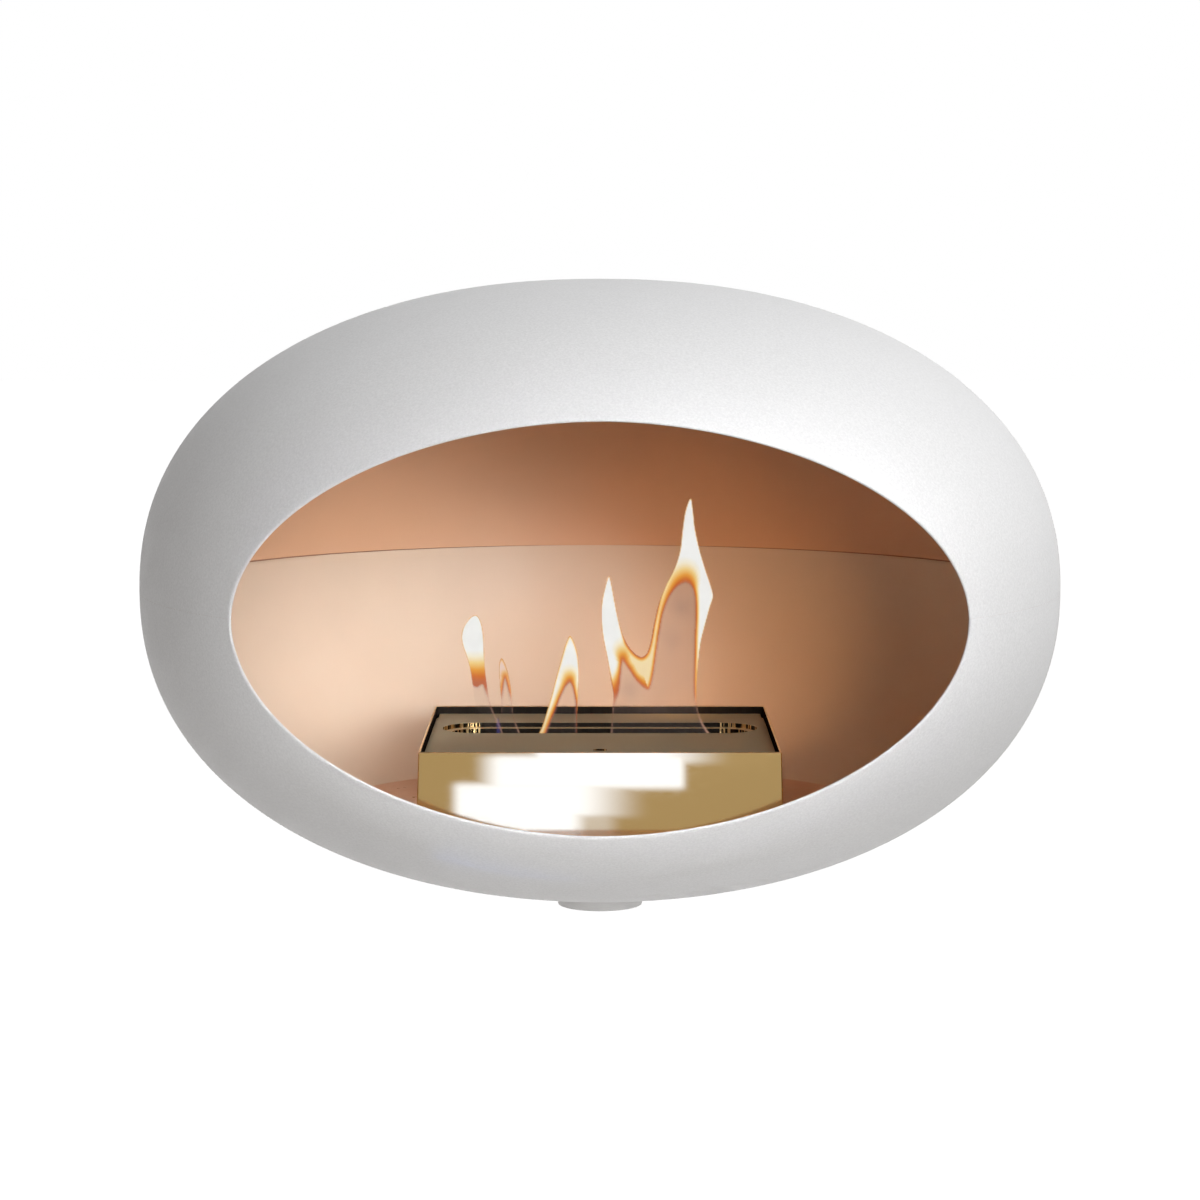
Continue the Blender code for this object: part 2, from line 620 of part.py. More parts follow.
def make_top_plate(frame):
    """The bronze top plate that lifts out, with its slot, tool hole and folded sides.

    The side folds stop short of the rear edge, which leaves the two rear corners notched.
    """
    half = TOP_HALF_WIDTH
    narrow = half - TOP_NOTCH_WIDTH
    shoulder = TOP_REAR - TOP_NOTCH_LENGTH
    outline = [(-half, TOP_FRONT), (half, TOP_FRONT), (half, shoulder), (narrow, shoulder)]
    outline += [(narrow, TOP_REAR), (-narrow, TOP_REAR), (-narrow, shoulder), (-half, shoulder)]
    folds = []
    for side in (-1, 1):
        outer = side * half
        inner = side * (half - TOP_SHEET)
        folds.append([(inner, TOP_FRONT), (outer, TOP_FRONT), (outer, shoulder), (inner, shoulder)])
    bronze = finish("brushed_bronze", (0.36, 0.30, 0.23), 0.38, 1.0)
    slot = (SLOT_LENGTH, SLOT_WIDTH, SLOT_Y)
    plate = slotted_sheet("top_plate", outline, TOP_SHEET, slot, folds, TOP_FOLD_DEPTH,
                          bronze, frame, TOP_LEVEL)
    hole = drills([(0, TOOL_HOLE_Y)], TOOL_HOLE_DIAMETER, -CUT_MARGIN, CUT_MARGIN)
    combine(plate, hole, "tool_hole")


def make_lid(frame):
    """The lid over the tank: the smaller slot below the top plate's, and a hole for the tool's hook."""
    half_x = inside_half(BURNER_WIDTH, LID_LEVEL) - LID_EDGE_GAP
    half_y = inside_half(BURNER_DEPTH, LID_LEVEL) - LID_EDGE_GAP
    outline = rounded_rectangle(half_x, half_y, CASING_CORNER)
    steel = finish("lid_steel", (0.50, 0.44, 0.34), 0.30, 1.0)
    slot = (LID_SLOT_LENGTH, LID_SLOT_WIDTH, SLOT_Y)
    lid = slotted_sheet("tank_lid", outline, LID_SHEET, slot, [], LID_COLLAR_DEPTH,
                        steel, frame, LID_LEVEL)
    combine(lid, drills([(0, TOOL_HOLE_Y)], HOOK_HOLE_DIAMETER, -CUT_MARGIN, CUT_MARGIN), "hook_hole")
    hole = RAIL_SCREW_DIAMETER + 2 * GAP
    combine(lid, drills(rail_screw_places(), hole, -CUT_MARGIN, CUT_MARGIN), "rail_holes")


def rail_span():
    """Middle and length of the rails, which carry the shutter all the way."""
    front = SLOT_Y - SHUTTER_TRAVEL - SHUTTER_WIDTH / 2 - SHUTTER_PARKING
    rear = SLOT_Y + SHUTTER_WIDTH / 2 + SHUTTER_PARKING
    return (front + rear) / 2, rear - front


def rail_screw_places():
    """Where the rails hang from the lid."""
    middle, length = rail_span()
    return screw_places(2 * RAIL_SCREW_X, 0.7 * length, (0, middle))


def make_rails(frame):
    """Two grooved rails between the lid and the tank's flange, and the screws that hold them."""
    high = LID_LEVEL - LID_SHEET - GAP
    groove_low = SHUTTER_LEVEL - SHUTTER_SHEET - SHUTTER_RUNNING
    groove_high = SHUTTER_LEVEL + SHUTTER_RUNNING
    middle, length = rail_span()
    seat = LID_LEVEL + GAP
    tip = seat - RAIL_SCREW_GRIP - LID_SHEET
    bore = RAIL_SCREW_DIAMETER + 2 * GAP
    for side, name in ((-1, "shutter_rail_left"), (1, "shutter_rail_right")):
        inner = side * (RAIL_X - RAIL_WIDTH / 2)
        outer = side * (RAIL_X + RAIL_WIDTH / 2)
        bottom = inner + side * RAIL_GROOVE
        section = [(inner, RAIL_BOTTOM), (outer, RAIL_BOTTOM), (outer, high), (inner, high)]
        section += [(inner, groove_high), (bottom, groove_high), (bottom, groove_low), (inner, groove_low)]
        ends = (middle - length / 2, middle + length / 2)
        shape = loft([[(x, y, z) for x, z in section] for y in ends])
        rail = add_solid(name, shape, finish(name, (0.70, 0.70, 0.71), 0.35, 1.0), parent=frame)
        mine = [place for place in rail_screw_places() if place[0] * side > 0]
        combine(rail, drills(mine, bore, tip - GAP, high + CUT_MARGIN), "bores")
    screw = cap_screw(RAIL_SCREW_DIAMETER, RAIL_SCREW_HEAD, seat - tip, RAIL_SCREW_HEAD_HEIGHT)
    steel = finish("rail_screw", (0.55, 0.55, 0.56), 0.35, 1.0)
    add_copies("rail_screw", screw, steel, rail_screw_places(), seat, frame, math.radians(40))


def make_shutter(frame):
    """The plate that slides back under the lid's slot and snuffs the flame; it rests parked in front."""
    half_x = SHUTTER_LENGTH / 2
    half_y = SHUTTER_WIDTH / 2
    tongue = TONGUE_WIDTH / 2
    outline = [(-half_x, -half_y), (half_x, -half_y), (half_x, half_y), (tongue, half_y)]
    outline += [(tongue, half_y + TONGUE_LENGTH), (-tongue, half_y + TONGUE_LENGTH)]
    outline += [(-tongue, half_y), (-half_x, half_y)]
    steel = finish("shutter_steel", (0.62, 0.62, 0.63), 0.30, 1.0)
    location = (0, SLOT_Y - SHUTTER_TRAVEL, SHUTTER_LEVEL)
    shutter = add_solid("shutter", prism(outline, -SHUTTER_SHEET, 0), steel, location, frame)
    near = -half_y + SHUTTER_OVERLAP + DIMPLE_DIAMETER
    far = half_y + TONGUE_LENGTH - DIMPLE_DIAMETER
    places = [(0, near), (0, far)]
    combine(shutter, drills(places, DIMPLE_DIAMETER, -DIMPLE_DEPTH, CUT_MARGIN), "dimples")


def tank_loop(level, outset):
    """A loop of the tank's outer wall, moved out or in."""
    corner = max(TANK_CORNER + outset, TANK_CORNER / 2)
    half_y = TANK_LENGTH / 2 + outset
    return at_height(rounded_rectangle(TANK_HALF_WIDTH + outset, half_y, corner, (0, TANK_Y)), level)


def make_tank(frame):
    """The fuel tank standing on the base plate, its ceramic wool and the perforated retainer."""
    under = TANK_LEVEL - TANK_SHEET
    inner_floor = TANK_BOTTOM + TANK_SHEET
    loops = [tank_loop(TANK_BOTTOM, 0), tank_loop(under, 0), tank_loop(under, TANK_FLANGE)]
    loops += [tank_loop(TANK_LEVEL, TANK_FLANGE), tank_loop(TANK_LEVEL, -TANK_SHEET)]
    loops += [tank_loop(inner_floor, -TANK_SHEET)]
    steel = finish("tank_steel", (0.45, 0.45, 0.46), 0.35, 1.0)
    add_solid("fuel_tank", loft(loops), steel, parent=frame)

    inset = -TANK_SHEET - WOOL_CLEARANCE
    wool_low = inner_floor + GAP
    wool_high = wool_low + WOOL_HEIGHT
    loops = [tank_loop(wool_low, inset), tank_loop(wool_high, inset)]
    wool = finish("ceramic_wool", (0.78, 0.77, 0.74), 0.95, 0.0)
    add_solid("ceramic_wool", loft(loops), wool, parent=frame)

    low = wool_high + GAP
    high = low + RETAINER_SHEET
    loops = [tank_loop(low, inset), tank_loop(high, inset)]
    steel = finish("retainer_steel", (0.40, 0.40, 0.41), 0.40, 1.0)
    retainer = add_solid("wool_retainer", loft(loops), steel, parent=frame)
    columns = int((LID_SLOT_LENGTH - RETAINER_PITCH) / RETAINER_PITCH)
    rows = int(LID_SLOT_WIDTH / RETAINER_PITCH)
    holes = bmesh.new()
    for row in range(rows):
        for column in range(columns):
            x = (column - (columns - 1) / 2) * RETAINER_PITCH
            y = SLOT_Y + (row - (rows - 1) / 2) * RETAINER_PITCH
            prism(circle(RETAINER_HOLE / 2, 8, (x, y)), low - GAP / 2, high + CUT_MARGIN, holes)
    combine(retainer, holes, "holes")


def main():
    clear_scene()
    make_arm()
    make_dome(add_frame("dome_frame", (0, DOME_Y, DOME_Z)))
    burner_frame = add_frame("burner_frame", (0, DOME_Y, FLOOR_Z))
    make_casing(burner_frame)
    make_tank(burner_frame)
    make_lid(burner_frame)
    make_rails(burner_frame)
    make_shutter(burner_frame)
    make_top_plate(burner_frame)


main()
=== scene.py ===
"""The dressed wall-mounted fireplace: fine dome shells, burner, flames, studio light and camera."""
import math

import bmesh
import bpy
import numpy as np
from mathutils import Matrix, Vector


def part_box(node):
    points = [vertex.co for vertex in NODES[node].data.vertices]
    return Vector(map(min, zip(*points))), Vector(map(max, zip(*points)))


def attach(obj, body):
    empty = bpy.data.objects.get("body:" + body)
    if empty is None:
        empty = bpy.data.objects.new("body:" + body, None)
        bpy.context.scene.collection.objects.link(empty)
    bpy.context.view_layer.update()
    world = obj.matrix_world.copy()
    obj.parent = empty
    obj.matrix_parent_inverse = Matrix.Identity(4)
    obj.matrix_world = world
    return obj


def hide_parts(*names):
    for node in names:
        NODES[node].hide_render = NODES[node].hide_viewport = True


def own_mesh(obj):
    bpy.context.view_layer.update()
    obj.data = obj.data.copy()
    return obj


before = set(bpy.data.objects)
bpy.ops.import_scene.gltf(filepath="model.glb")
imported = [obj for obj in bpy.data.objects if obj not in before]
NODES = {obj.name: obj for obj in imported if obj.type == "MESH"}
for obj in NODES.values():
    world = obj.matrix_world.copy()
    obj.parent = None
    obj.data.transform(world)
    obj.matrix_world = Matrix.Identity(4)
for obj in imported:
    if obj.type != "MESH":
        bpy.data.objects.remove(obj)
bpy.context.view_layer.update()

# Sizes repeated from the part, in metres
DOME_RADIUS = 0.375
HALF_HEIGHT = 0.2505
DOME_FULLNESS = 2.19
DOME_SHEET = 0.0020
DOME_Y = -0.410
DOME_Z = (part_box("lower_dome_shell")[0].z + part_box("upper_dome_shell")[1].z) / 2
OPENING_HALF_WIDTH = 0.276
OPENING_HALF_HEIGHT = 0.1533  # 0.3 mm more than the part's, which keeps the edge inside its box
OPENING_FULLNESS = 1.90
OPENING_DROP = 0.0023
FLOOR_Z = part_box("floor_plate")[1].z
FLOOR_THICKNESS = 0.0025
FLOOR_TAPER = 0.0022
SEAT_RADIUS = 0.035
SEAT_HALF_HEIGHT = 0.0063
SEAT_CUT_RADIUS = 0.0353
WALL_PLATE_HALF = 0.070
WALL_PLATE_CORNER = 0.015
WALL_PLATE_THICKNESS = 0.006
WALL_HOLE_RADIUS = 0.0045
WALL_HOLE_OFFSET = 0.05
ARM_HALF_WIDTH = 0.025
ARM_BACK = -0.0063
ARM_LOW = 0.007
ARM_HIGH = 0.017
RIB_HALF_THICKNESS = 0.004
RIB_TOP = 0.0067
RIB_NOSE = 0.010
RIB_DROP = 0.048
ARM_BEVEL = 0.0007
BURNER_WIDTH = 0.2857
BURNER_DEPTH = 0.2653
BURNER_HEIGHT = 0.0735
CASING_SHEET = 0.0015
CASING_FLARE = math.radians(1.85)
CASING_BOTTOM = 0.0036
CASING_FLANGE = 0.014
CASING_CORNER = 0.0012  # sharper than the part's 3 mm, as in the photograph
CASING_HEM = 0.0006  # the skirt reaches 3 mm lower than the part's, as in the photograph
CASING_EASE = 0.0006
TOP_LEVEL = 0.0675
LID_LEVEL = 0.0635
FOLD_DEPTH = 0.0037
SHEET = 0.0015
SHEET_BEVEL = 0.00022
TOP_HALF_WIDTH = 0.14004
TOP_REAR = 0.12684
TOP_FRONT = -0.12984
TOP_NOTCH = (0.0015, 0.030)
SLOT_Y = 0.04164
SLOT_SIZE = (0.26369, 0.061)
LID_SLOT_SIZE = (0.25069, 0.048)
TOOL_HOLE_Y = -0.08084
TOOL_HOLE_RADIUS = 0.0056
HOOK_HOLE_RADIUS = 0.012
LID_COLLAR = 0.0040
LID_CORNER = 0.003
LID_EDGE_GAP = 0.0006
BURNER_ORIGIN = Vector((0, DOME_Y, FLOOR_Z))

# The photograph's camera, found by fitting the dome's outline, mouth, seam and foot
CAMERA_DISTANCE = 2.6591
CAMERA_RISE = 0.2678
CAMERA_PITCH = 0.105
FOCAL_PX = 3250.3
FRAME_PX = 1200
FLAME_Y = DOME_Y + SLOT_Y

# Rows of the photograph's frame, from the top, between which the flames change
FLAME_LOWEST = 743
VALLEY_ROWS = (612, 652)
EMBER_ROWS = (654, 692)
HAZE_ROWS = (670, 722)

# The stage
STAGE_FLOOR_Z = -1.10
STAGE_FLOOR_REACH = 40.0
REFLECTOR_Y = -0.655
REFLECTOR_WARM = (0.44, 0.395, 0.30)
REFLECTOR_WHITE = (1.22, 1.62, 3.0)
MOUTH_CENTRE = Vector((0, -0.72, 0.26))


def linear(*levels):
    """Display levels from 0 to 255 as linear light."""
    return tuple((level / 255) ** 2.2 for level in levels)


# Materials


class Paint:
    """A node material with short ways to add the usual nodes."""

    def __init__(self, name, colour, roughness, metallic=0.0):
        self.material = bpy.data.materials.new(name)
        self.material.use_nodes = True
        self.tree = self.material.node_tree
        self.shader = self.tree.nodes["Principled BSDF"]
        self.set("Base Color", (*colour, 1.0))
        self.set("Roughness", roughness)
        self.set("Metallic", metallic)
        self.colour = colour
        self.coordinates = self.node("ShaderNodeTexCoord").outputs["Object"]
        self.bumps = None

    def node(self, kind, **values):
        made = self.tree.nodes.new(kind)
        for key, value in values.items():
            setattr(made, key, value)
        return made

    def link(self, output, target):
        self.tree.links.new(output, target)

    def set(self, name, value):
        self.shader.inputs[name].default_value = value

    def noise(self, scale, stretch=(1, 1, 1), detail=3.0, roughness=0.55):
        """Noise in the object's own space, in waves per metre, stretched by axis."""
        mapping = self.node("ShaderNodeMapping")
        mapping.inputs["Scale"].default_value = stretch
        self.link(self.coordinates, mapping.inputs["Vector"])
        texture = self.node("ShaderNodeTexNoise")
        texture.inputs["Scale"].default_value = scale
        texture.inputs["Detail"].default_value = detail
        texture.inputs["Roughness"].default_value = roughness
        self.link(mapping.outputs["Vector"], texture.inputs["Vector"])
        return texture.outputs["Fac"]

    def span(self, factor, low, high, start=0.3, end=0.7):
        """Map a factor to a range."""
        mapped = self.node("ShaderNodeMapRange")
        mapped.inputs["From Min"].default_value = start
        mapped.inputs["From Max"].default_value = end
        mapped.inputs["To Min"].default_value = low
        mapped.inputs["To Max"].default_value = high
        self.link(factor, mapped.inputs["Value"])
        return mapped.outputs["Result"]

    def tint(self, factor, shade, light):
        """Vary the colour between a shade and a light version of itself."""
        low = [min(1, part * shade) for part in self.colour]
        high = [min(1, part * light) for part in self.colour]
        mixed = self.node("ShaderNodeMix", data_type="RGBA")
        mixed.inputs["A"].default_value = (*low, 1)
        mixed.inputs["B"].default_value = (*high, 1)
        self.link(self.span(factor, 0, 1), mixed.inputs["Factor"])
        self.link(mixed.outputs["Result"], self.shader.inputs["Base Color"])

    def gloss(self, factor, low, high):
        self.link(self.span(factor, low, high), self.shader.inputs["Roughness"])

    def bump(self, factor, distance, strength=1.0):
        made = self.node("ShaderNodeBump")
        made.inputs["Distance"].default_value = distance
        made.inputs["Strength"].default_value = strength
        self.link(factor, made.inputs["Height"])
        if self.bumps is not None:
            self.link(self.bumps, made.inputs["Normal"])
        self.bumps = made.outputs["Normal"]
        self.link(self.bumps, self.shader.inputs["Normal"])


def powder_coat(name, colour):
    """Fine-textured matte coat: small grains and a faint cloudiness."""
    paint = Paint(name, colour, 0.60)
    paint.set("Specular IOR Level", 0.18)
    grain = paint.noise(520, detail=3.0, roughness=0.75)
    paint.bump(grain, 0.00030, 0.7)
    paint.bump(paint.noise(2600, detail=1.0), 0.00006, 0.5)
    paint.tint(grain, 0.92, 1.07)
    paint.gloss(paint.noise(40), 0.55, 0.66)
    return paint.material


def copper_coat(name, colour, roughness):
    """Satin copper-coloured coat with a faint cloud and fine flakes."""
    paint = Paint(name, colour, roughness)
    paint.set("Specular IOR Level", 0.35)
    paint.tint(paint.noise(9, detail=4.0), 0.975, 1.02)
    paint.gloss(paint.noise(60), roughness - 0.03, roughness + 0.04)
    paint.bump(paint.noise(1500, detail=2.0), 0.00004, 0.35)
    return paint.material


def polished(name, colour, roughness=0.06):
    """Mirror-polished plating with the slight ripple of pressed sheet."""
    paint = Paint(name, colour, roughness, 1.0)
    paint.tint(paint.noise(6), 0.98, 1.01)
    paint.gloss(paint.noise(130, (1, 1, 3)), roughness - 0.015, roughness + 0.03)
    paint.bump(paint.noise(14, detail=1.0), 0.00002, 0.5)
    return paint.material


def brushed(name, colour, roughness, stretch=(0.02, 1, 1), depth=0.00004, metallic=1.0):
    """Brushed metal or paint with long fine scratches along the axis that the stretch keeps low."""
    paint = Paint(name, colour, roughness, metallic)
    lines = paint.noise(2400, stretch, detail=3.0, roughness=0.7)
    paint.tint(lines, 0.93, 1.05)
    paint.gloss(lines, roughness - 0.06, roughness + 0.08)
    paint.bump(lines, depth, 0.5)
    return paint.material


def painted_shade_black(name, colour):
    """Near-black painted shade that gives back almost nothing, with faint streaks."""
    paint = Paint(name, colour, 0.8)
    paint.set("Specular IOR Level", 0.0)
    streaks = paint.noise(900, (1, 1, 0.1))
    paint.tint(streaks, 0.6, 1.5)
    paint.bump(streaks, 0.00003, 0.4)
    return paint.material


def gold_painted_reflection(name, colour):
    """Gold on the drawn, curved ends of a slot, with upright light and dark stripes that are a
    painted reflection.
    """
    paint = Paint(name, colour, 0.25, 1.0)
    reflection_stripes = paint.noise(420, (1, 1, 0.02), detail=2.0, roughness=0.6)
    # Painted reflection: the colour swings from near black to bright gold along the stripes.
    paint.tint(paint.span(reflection_stripes, 0, 1, 0.44, 0.60), 0.03, 1.1)
    paint.gloss(reflection_stripes, 0.2, 0.32)
    paint.bump(reflection_stripes, 0.00004, 0.5)
    return paint.material


def fibre(name, colour):
    """Matted ceramic fibre."""
    paint = Paint(name, colour, 0.95)
    tufts = paint.noise(260, detail=6.0, roughness=0.7)
    paint.tint(tufts, 0.75, 1.05)
    paint.bump(tufts, 0.0012, 0.9)
    return paint.material


def rubber(name, colour):
    """Moulded black rubber."""
    paint = Paint(name, colour, 0.75)
    grain = paint.noise(700, detail=3.0)
    paint.tint(grain, 0.8, 1.4)
    paint.bump(grain, 0.00010, 0.5)
    return paint.material


# Mesh helpers


def new_piece(name, vertices, faces, materials, body, smooth=40, choose=None):
    """A mesh piece that rides on a body; choose gives each face's material."""
    mesh = bpy.data.meshes.new(name)
    mesh.from_pydata([tuple(point) for point in vertices], [], faces)
    shape = bmesh.new()
    shape.from_mesh(mesh)
    bmesh.ops.recalc_face_normals(shape, faces=shape.faces)
    shape.to_mesh(mesh)
    shape.free()
    piece = bpy.data.objects.new(name, mesh)
    bpy.context.scene.collection.objects.link(piece)
    for material in materials:
        mesh.materials.append(material)
    settle(piece, smooth, choose)
    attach(piece, body)
    return piece


def settle(piece, smooth, choose=None):
    """Shade smooth up to an angle and hand out the materials."""
    mesh = piece.data
    mesh.shade_smooth()
    mesh.set_sharp_from_angle(angle=math.radians(smooth))
    if choose is not None:
        for face in mesh.polygons:
            face.material_index = choose(face)


def loft(loops, ring=False):
    """Vertices and faces of a skin over a row of loops, capped or closed into a ring."""
    count = len(loops[0])
    vertices = [point for loop in loops for point in loop]
    faces = []
    rows = len(loops)
    for row in range(rows if ring else rows - 1):
        after = (row + 1) % rows
        for step in range(count):
            following = (step + 1) % count
            faces.append((row * count + step, row * count + following,
                          after * count + following, after * count + step))
    if not ring:
        faces.append(tuple(range(count)))
        faces.append(tuple(range((rows - 1) * count, rows * count)))
    return vertices, faces


def revolve(profile, segments, centre):
    """Vertices and faces of a closed (radius, height) profile turned about Z."""
    vertices = []
    rings = []
    for radius, height in profile:
        ring = []
        for step in range(segments if radius > 0 else 1):
            angle = 2 * math.pi * step / segments
            ring.append(len(vertices))
            vertices.append((centre[0] + radius * math.cos(angle),
                             centre[1] + radius * math.sin(angle), centre[2] + height))
        rings.append(ring)
    faces = []
    for inner, outer in zip(rings, rings[1:] + rings[:1]):
        if len(inner) == 1 and len(outer) == 1:
            continue
        for step in range(segments):
            corners = []
            for ring, place in ((inner, step), (inner, step + 1), (outer, step + 1), (outer, step)):
                vertex = ring[place % len(ring)]
                if vertex not in corners:
                    corners.append(vertex)
            faces.append(tuple(corners))
    return vertices, faces


def rounded_rectangle(half_x, half_y, corner, steps=8):
    """Points of a rectangle with round corners."""
    points = []
    for sign_x, sign_y, quarter in ((1, 1, 0), (-1, 1, 1), (-1, -1, 2), (1, -1, 3)):
        for step in range(steps + 1):
            angle = math.pi / 2 * (quarter + step / steps)
            points.append((sign_x * (half_x - corner) + corner * math.cos(angle),
                           sign_y * (half_y - corner) + corner * math.sin(angle)))
    return points


def stadium(length, width, centre=(0, 0), steps=32):
    """Points of an outline with round ends, long along X."""
    points = []
    for side, start in ((1, -0.5), (-1, 0.5)):
        middle = centre[0] + side * (length - width) / 2
        for step in range(steps + 1):
            angle = math.pi * (start + step / steps)
            points.append((middle + width / 2 * math.cos(angle),
                           centre[1] + width / 2 * math.sin(angle)))
    return points


def circle(radius, centre=(0, 0), segments=48):
    """Points of a circle."""
    points = []
    for step in range(segments):
        angle = 2 * math.pi * step / segments
        points.append((centre[0] + radius * math.cos(angle), centre[1] + radius * math.sin(angle)))
    return points


def prism(points, low, high, lift=lambda x, y, z: (x, y, z)):
    """A flat outline given a thickness."""
    return loft([[lift(x, y, height) for x, y in points] for height in (low, high)])


def cut_plate(name, base, joined, cuts, materials, body, bevel, choose=None):
    """A prism with shapes joined on and cut out, its edges broken by a small bevel."""
    piece = new_piece(name, *base, materials, body)
    tools = []
    for operation, shapes in (("UNION", joined), ("DIFFERENCE", cuts)):
        for shape in shapes:
            tool = new_piece(f"{name}_tool", *shape, [], body)
            tools.append(tool)
            modifier = piece.modifiers.new("cut", "BOOLEAN")
            modifier.operation = operation
            modifier.object = tool
    edge = piece.modifiers.new("edge", "BEVEL")
    edge.width = bevel
    edge.segments = 2
    edge.angle_limit = math.radians(35)
    apply_all(piece)
    for tool in tools:
        bpy.data.objects.remove(tool)
    settle(piece, 20, choose)
    return piece


def apply_all(piece):
    """Bake the modifiers into the mesh."""
    bpy.context.view_layer.update()
    graph = bpy.context.evaluated_depsgraph_get()
    mesh = bpy.data.meshes.new_from_object(piece.evaluated_get(graph))
    piece.modifiers.clear()
    piece.data = mesh


# The dome


def dome_surface(theta, phi):
    """A point of the outer surface by direction from the centre, and its outward normal."""
    across = math.sin(phi)
    ray = (across * math.cos(theta), -math.cos(phi), across * math.sin(theta))
    flat = math.hypot(ray[0], ray[1]) / DOME_RADIUS
    tall = abs(ray[2]) / HALF_HEIGHT
    reach = (flat ** DOME_FULLNESS + tall ** DOME_FULLNESS) ** (-1 / DOME_FULLNESS)
    point = Vector(ray) * reach
    radius = math.hypot(point.x, point.y)
    slope_r = (radius / DOME_RADIUS) ** (DOME_FULLNESS - 1) / DOME_RADIUS
    slope_z = (abs(point.z) / HALF_HEIGHT) ** (DOME_FULLNESS - 1) / HALF_HEIGHT
    if radius < 1e-9:
        return point, Vector((0, 0, math.copysign(1, point.z)))
    normal = Vector((slope_r * point.x / radius, slope_r * point.y / radius,
                     math.copysign(slope_z, point.z)))
    return point, normal.normalized()


def mouth_angle(theta):
    """How far from the front axis the mouth's edge lies, in a direction round it."""
    low, high = 0.0, DOME_RADIUS
    for _ in range(40):
        reach = (low + high) / 2
        share_x = abs(reach * math.cos(theta)) / OPENING_HALF_WIDTH
        share_z = abs(reach * math.sin(theta) + OPENING_DROP) / OPENING_HALF_HEIGHT
        if share_x ** OPENING_FULLNESS + share_z ** OPENING_FULLNESS < 1:
            low = reach
        else:
            high = reach
    height = abs(reach * math.sin(theta)) / HALF_HEIGHT
    radius = DOME_RADIUS * (1 - height ** DOME_FULLNESS) ** (1 / DOME_FULLNESS)
    depth = math.sqrt(radius ** 2 - (reach * math.cos(theta)) ** 2)
    return math.atan2(reach, depth)


def dome_half(name, side, materials):
    """One half of the dome: outer skin, inner skin, the square-cut mouth edge and the seam edge."""
    columns, rows, ease, seam = 220, 150, 0.00035, 0.0007
    thetas = [0.0, seam / DOME_RADIUS]
    thetas += [math.pi * step / columns for step in range(1, columns)]
    thetas += [math.pi - seam / DOME_RADIUS, math.pi]
    centre = Vector((0, DOME_Y, DOME_Z + side * 0.00002))
    vertices = []
    skins = []
    for inner in (False, True):
        grid = []
        for number, theta in enumerate(thetas):
            start = mouth_angle(side * theta)
            line = []
            for row in range(-1, rows):
                share = max(row, 0) / rows
                phi = start + (math.pi - start) * (0.55 * share + 0.45 * share ** 2)
                depth = DOME_SHEET if inner else 0.0
                if row == -1:
                    depth = DOME_SHEET - ease if inner else ease
                if row == 0:
                    phi = start + ease / DOME_RADIUS
                if inner and number in (0, len(thetas) - 1):
                    depth = min(depth, DOME_SHEET - seam)
                point, normal = dome_surface(side * theta, phi)
                line.append(len(vertices))
                vertices.append(centre + point - normal * depth)
            grid.append(line)
        point, normal = dome_surface(0, math.pi)
        pole = len(vertices)
        vertices.append(centre + point - normal * (DOME_SHEET if inner else 0))
        skins.append((grid, pole))
    faces = []
    kinds = []
    for kind, (grid, pole) in enumerate(skins):
        for column, (left, right) in enumerate(zip(grid, grid[1:])):
            tone = 2 if kind and column in (0, len(grid) - 2) else kind
            for row in range(rows):
                faces.append((left[row], right[row], right[row + 1], left[row + 1]))
                kinds.append(tone)
            faces.append((left[rows], right[rows], pole))
            kinds.append(tone)
    (outer, outer_pole), (inner, inner_pole) = skins
    for column in range(len(thetas) - 1):
        faces.append((outer[column][0], outer[column + 1][0],
                      inner[column + 1][0], inner[column][0]))
        kinds.append(0)
    for column in (0, -1):
        for row in range(rows):
            faces.append((outer[column][row], outer[column][row + 1],
                          inner[column][row + 1], inner[column][row]))
            kinds.append(2)
        faces.append((outer[column][rows], outer_pole, inner_pole, inner[column][rows]))
        kinds.append(2)
    return new_piece(name, vertices, faces, materials, "dome", 55, lambda face: kinds[face.index])


def make_dome():
    """Both dome halves, the floor plate and the seat."""
    white = powder_coat("white_powder_coat", (0.725, 0.725, 0.73))
    # The two halves take lit and shaded copies of one copper: the lower half's lighter, paler
    # copper is painted sheen, and the upper half's darker copper is painted shade.
    upper_copper_painted_shade = copper_coat("copper_upper_painted_shade", (0.66, 0.405, 0.255), 0.50)
    lower_copper_painted_sheen = copper_coat("copper_lower_painted_sheen", (0.665, 0.54, 0.425), 0.50)
    joint = copper_coat("copper_joint", (0.36, 0.19, 0.12), 0.6)
    upper = dome_half("upper_shell", 1, [white, upper_copper_painted_shade, joint])
    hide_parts("upper_dome_shell")
    lower = dome_half("lower_shell", -1, [white, lower_copper_painted_sheen, joint])
    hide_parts("lower_dome_shell")

    top_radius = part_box("floor_plate")[1].x
    bottom_radius = top_radius - FLOOR_TAPER
    low, ease = -FLOOR_THICKNESS, 0.0004
    profile = [(0, low), (bottom_radius - ease, low), (bottom_radius, low + ease)]
    profile += [(top_radius, -ease), (top_radius - ease, 0), (0.20, 0), (0, 0)]
    shape = revolve(profile, 256, (0, DOME_Y, FLOOR_Z))
    copper = copper_coat("copper_floor", (0.62, 0.355, 0.225), 0.30)
    floor = new_piece("firebox_floor", *shape, [copper], "dome", 30)
    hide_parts("floor_plate")

    turned = brushed("turned_white_paint", (0.70, 0.695, 0.69), 0.5, (0.05, 0.05, 1), 0.00002, 0.0)
    radius, low, high, ease = SEAT_RADIUS, -SEAT_HALF_HEIGHT, SEAT_HALF_HEIGHT, 0.0006
    profile = [(0, low), (radius - ease, low), (radius - ease / 3, low + ease / 3)]
    profile += [(radius, low + ease), (radius, high - ease), (radius - ease, high), (0, high)]
    middle = (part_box("seat_disc")[0].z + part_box("seat_disc")[1].z) / 2
    seat = new_piece("seat", *revolve(profile, 128, (0, DOME_Y, middle)), [turned], "dome", 40)
    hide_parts("seat_disc")


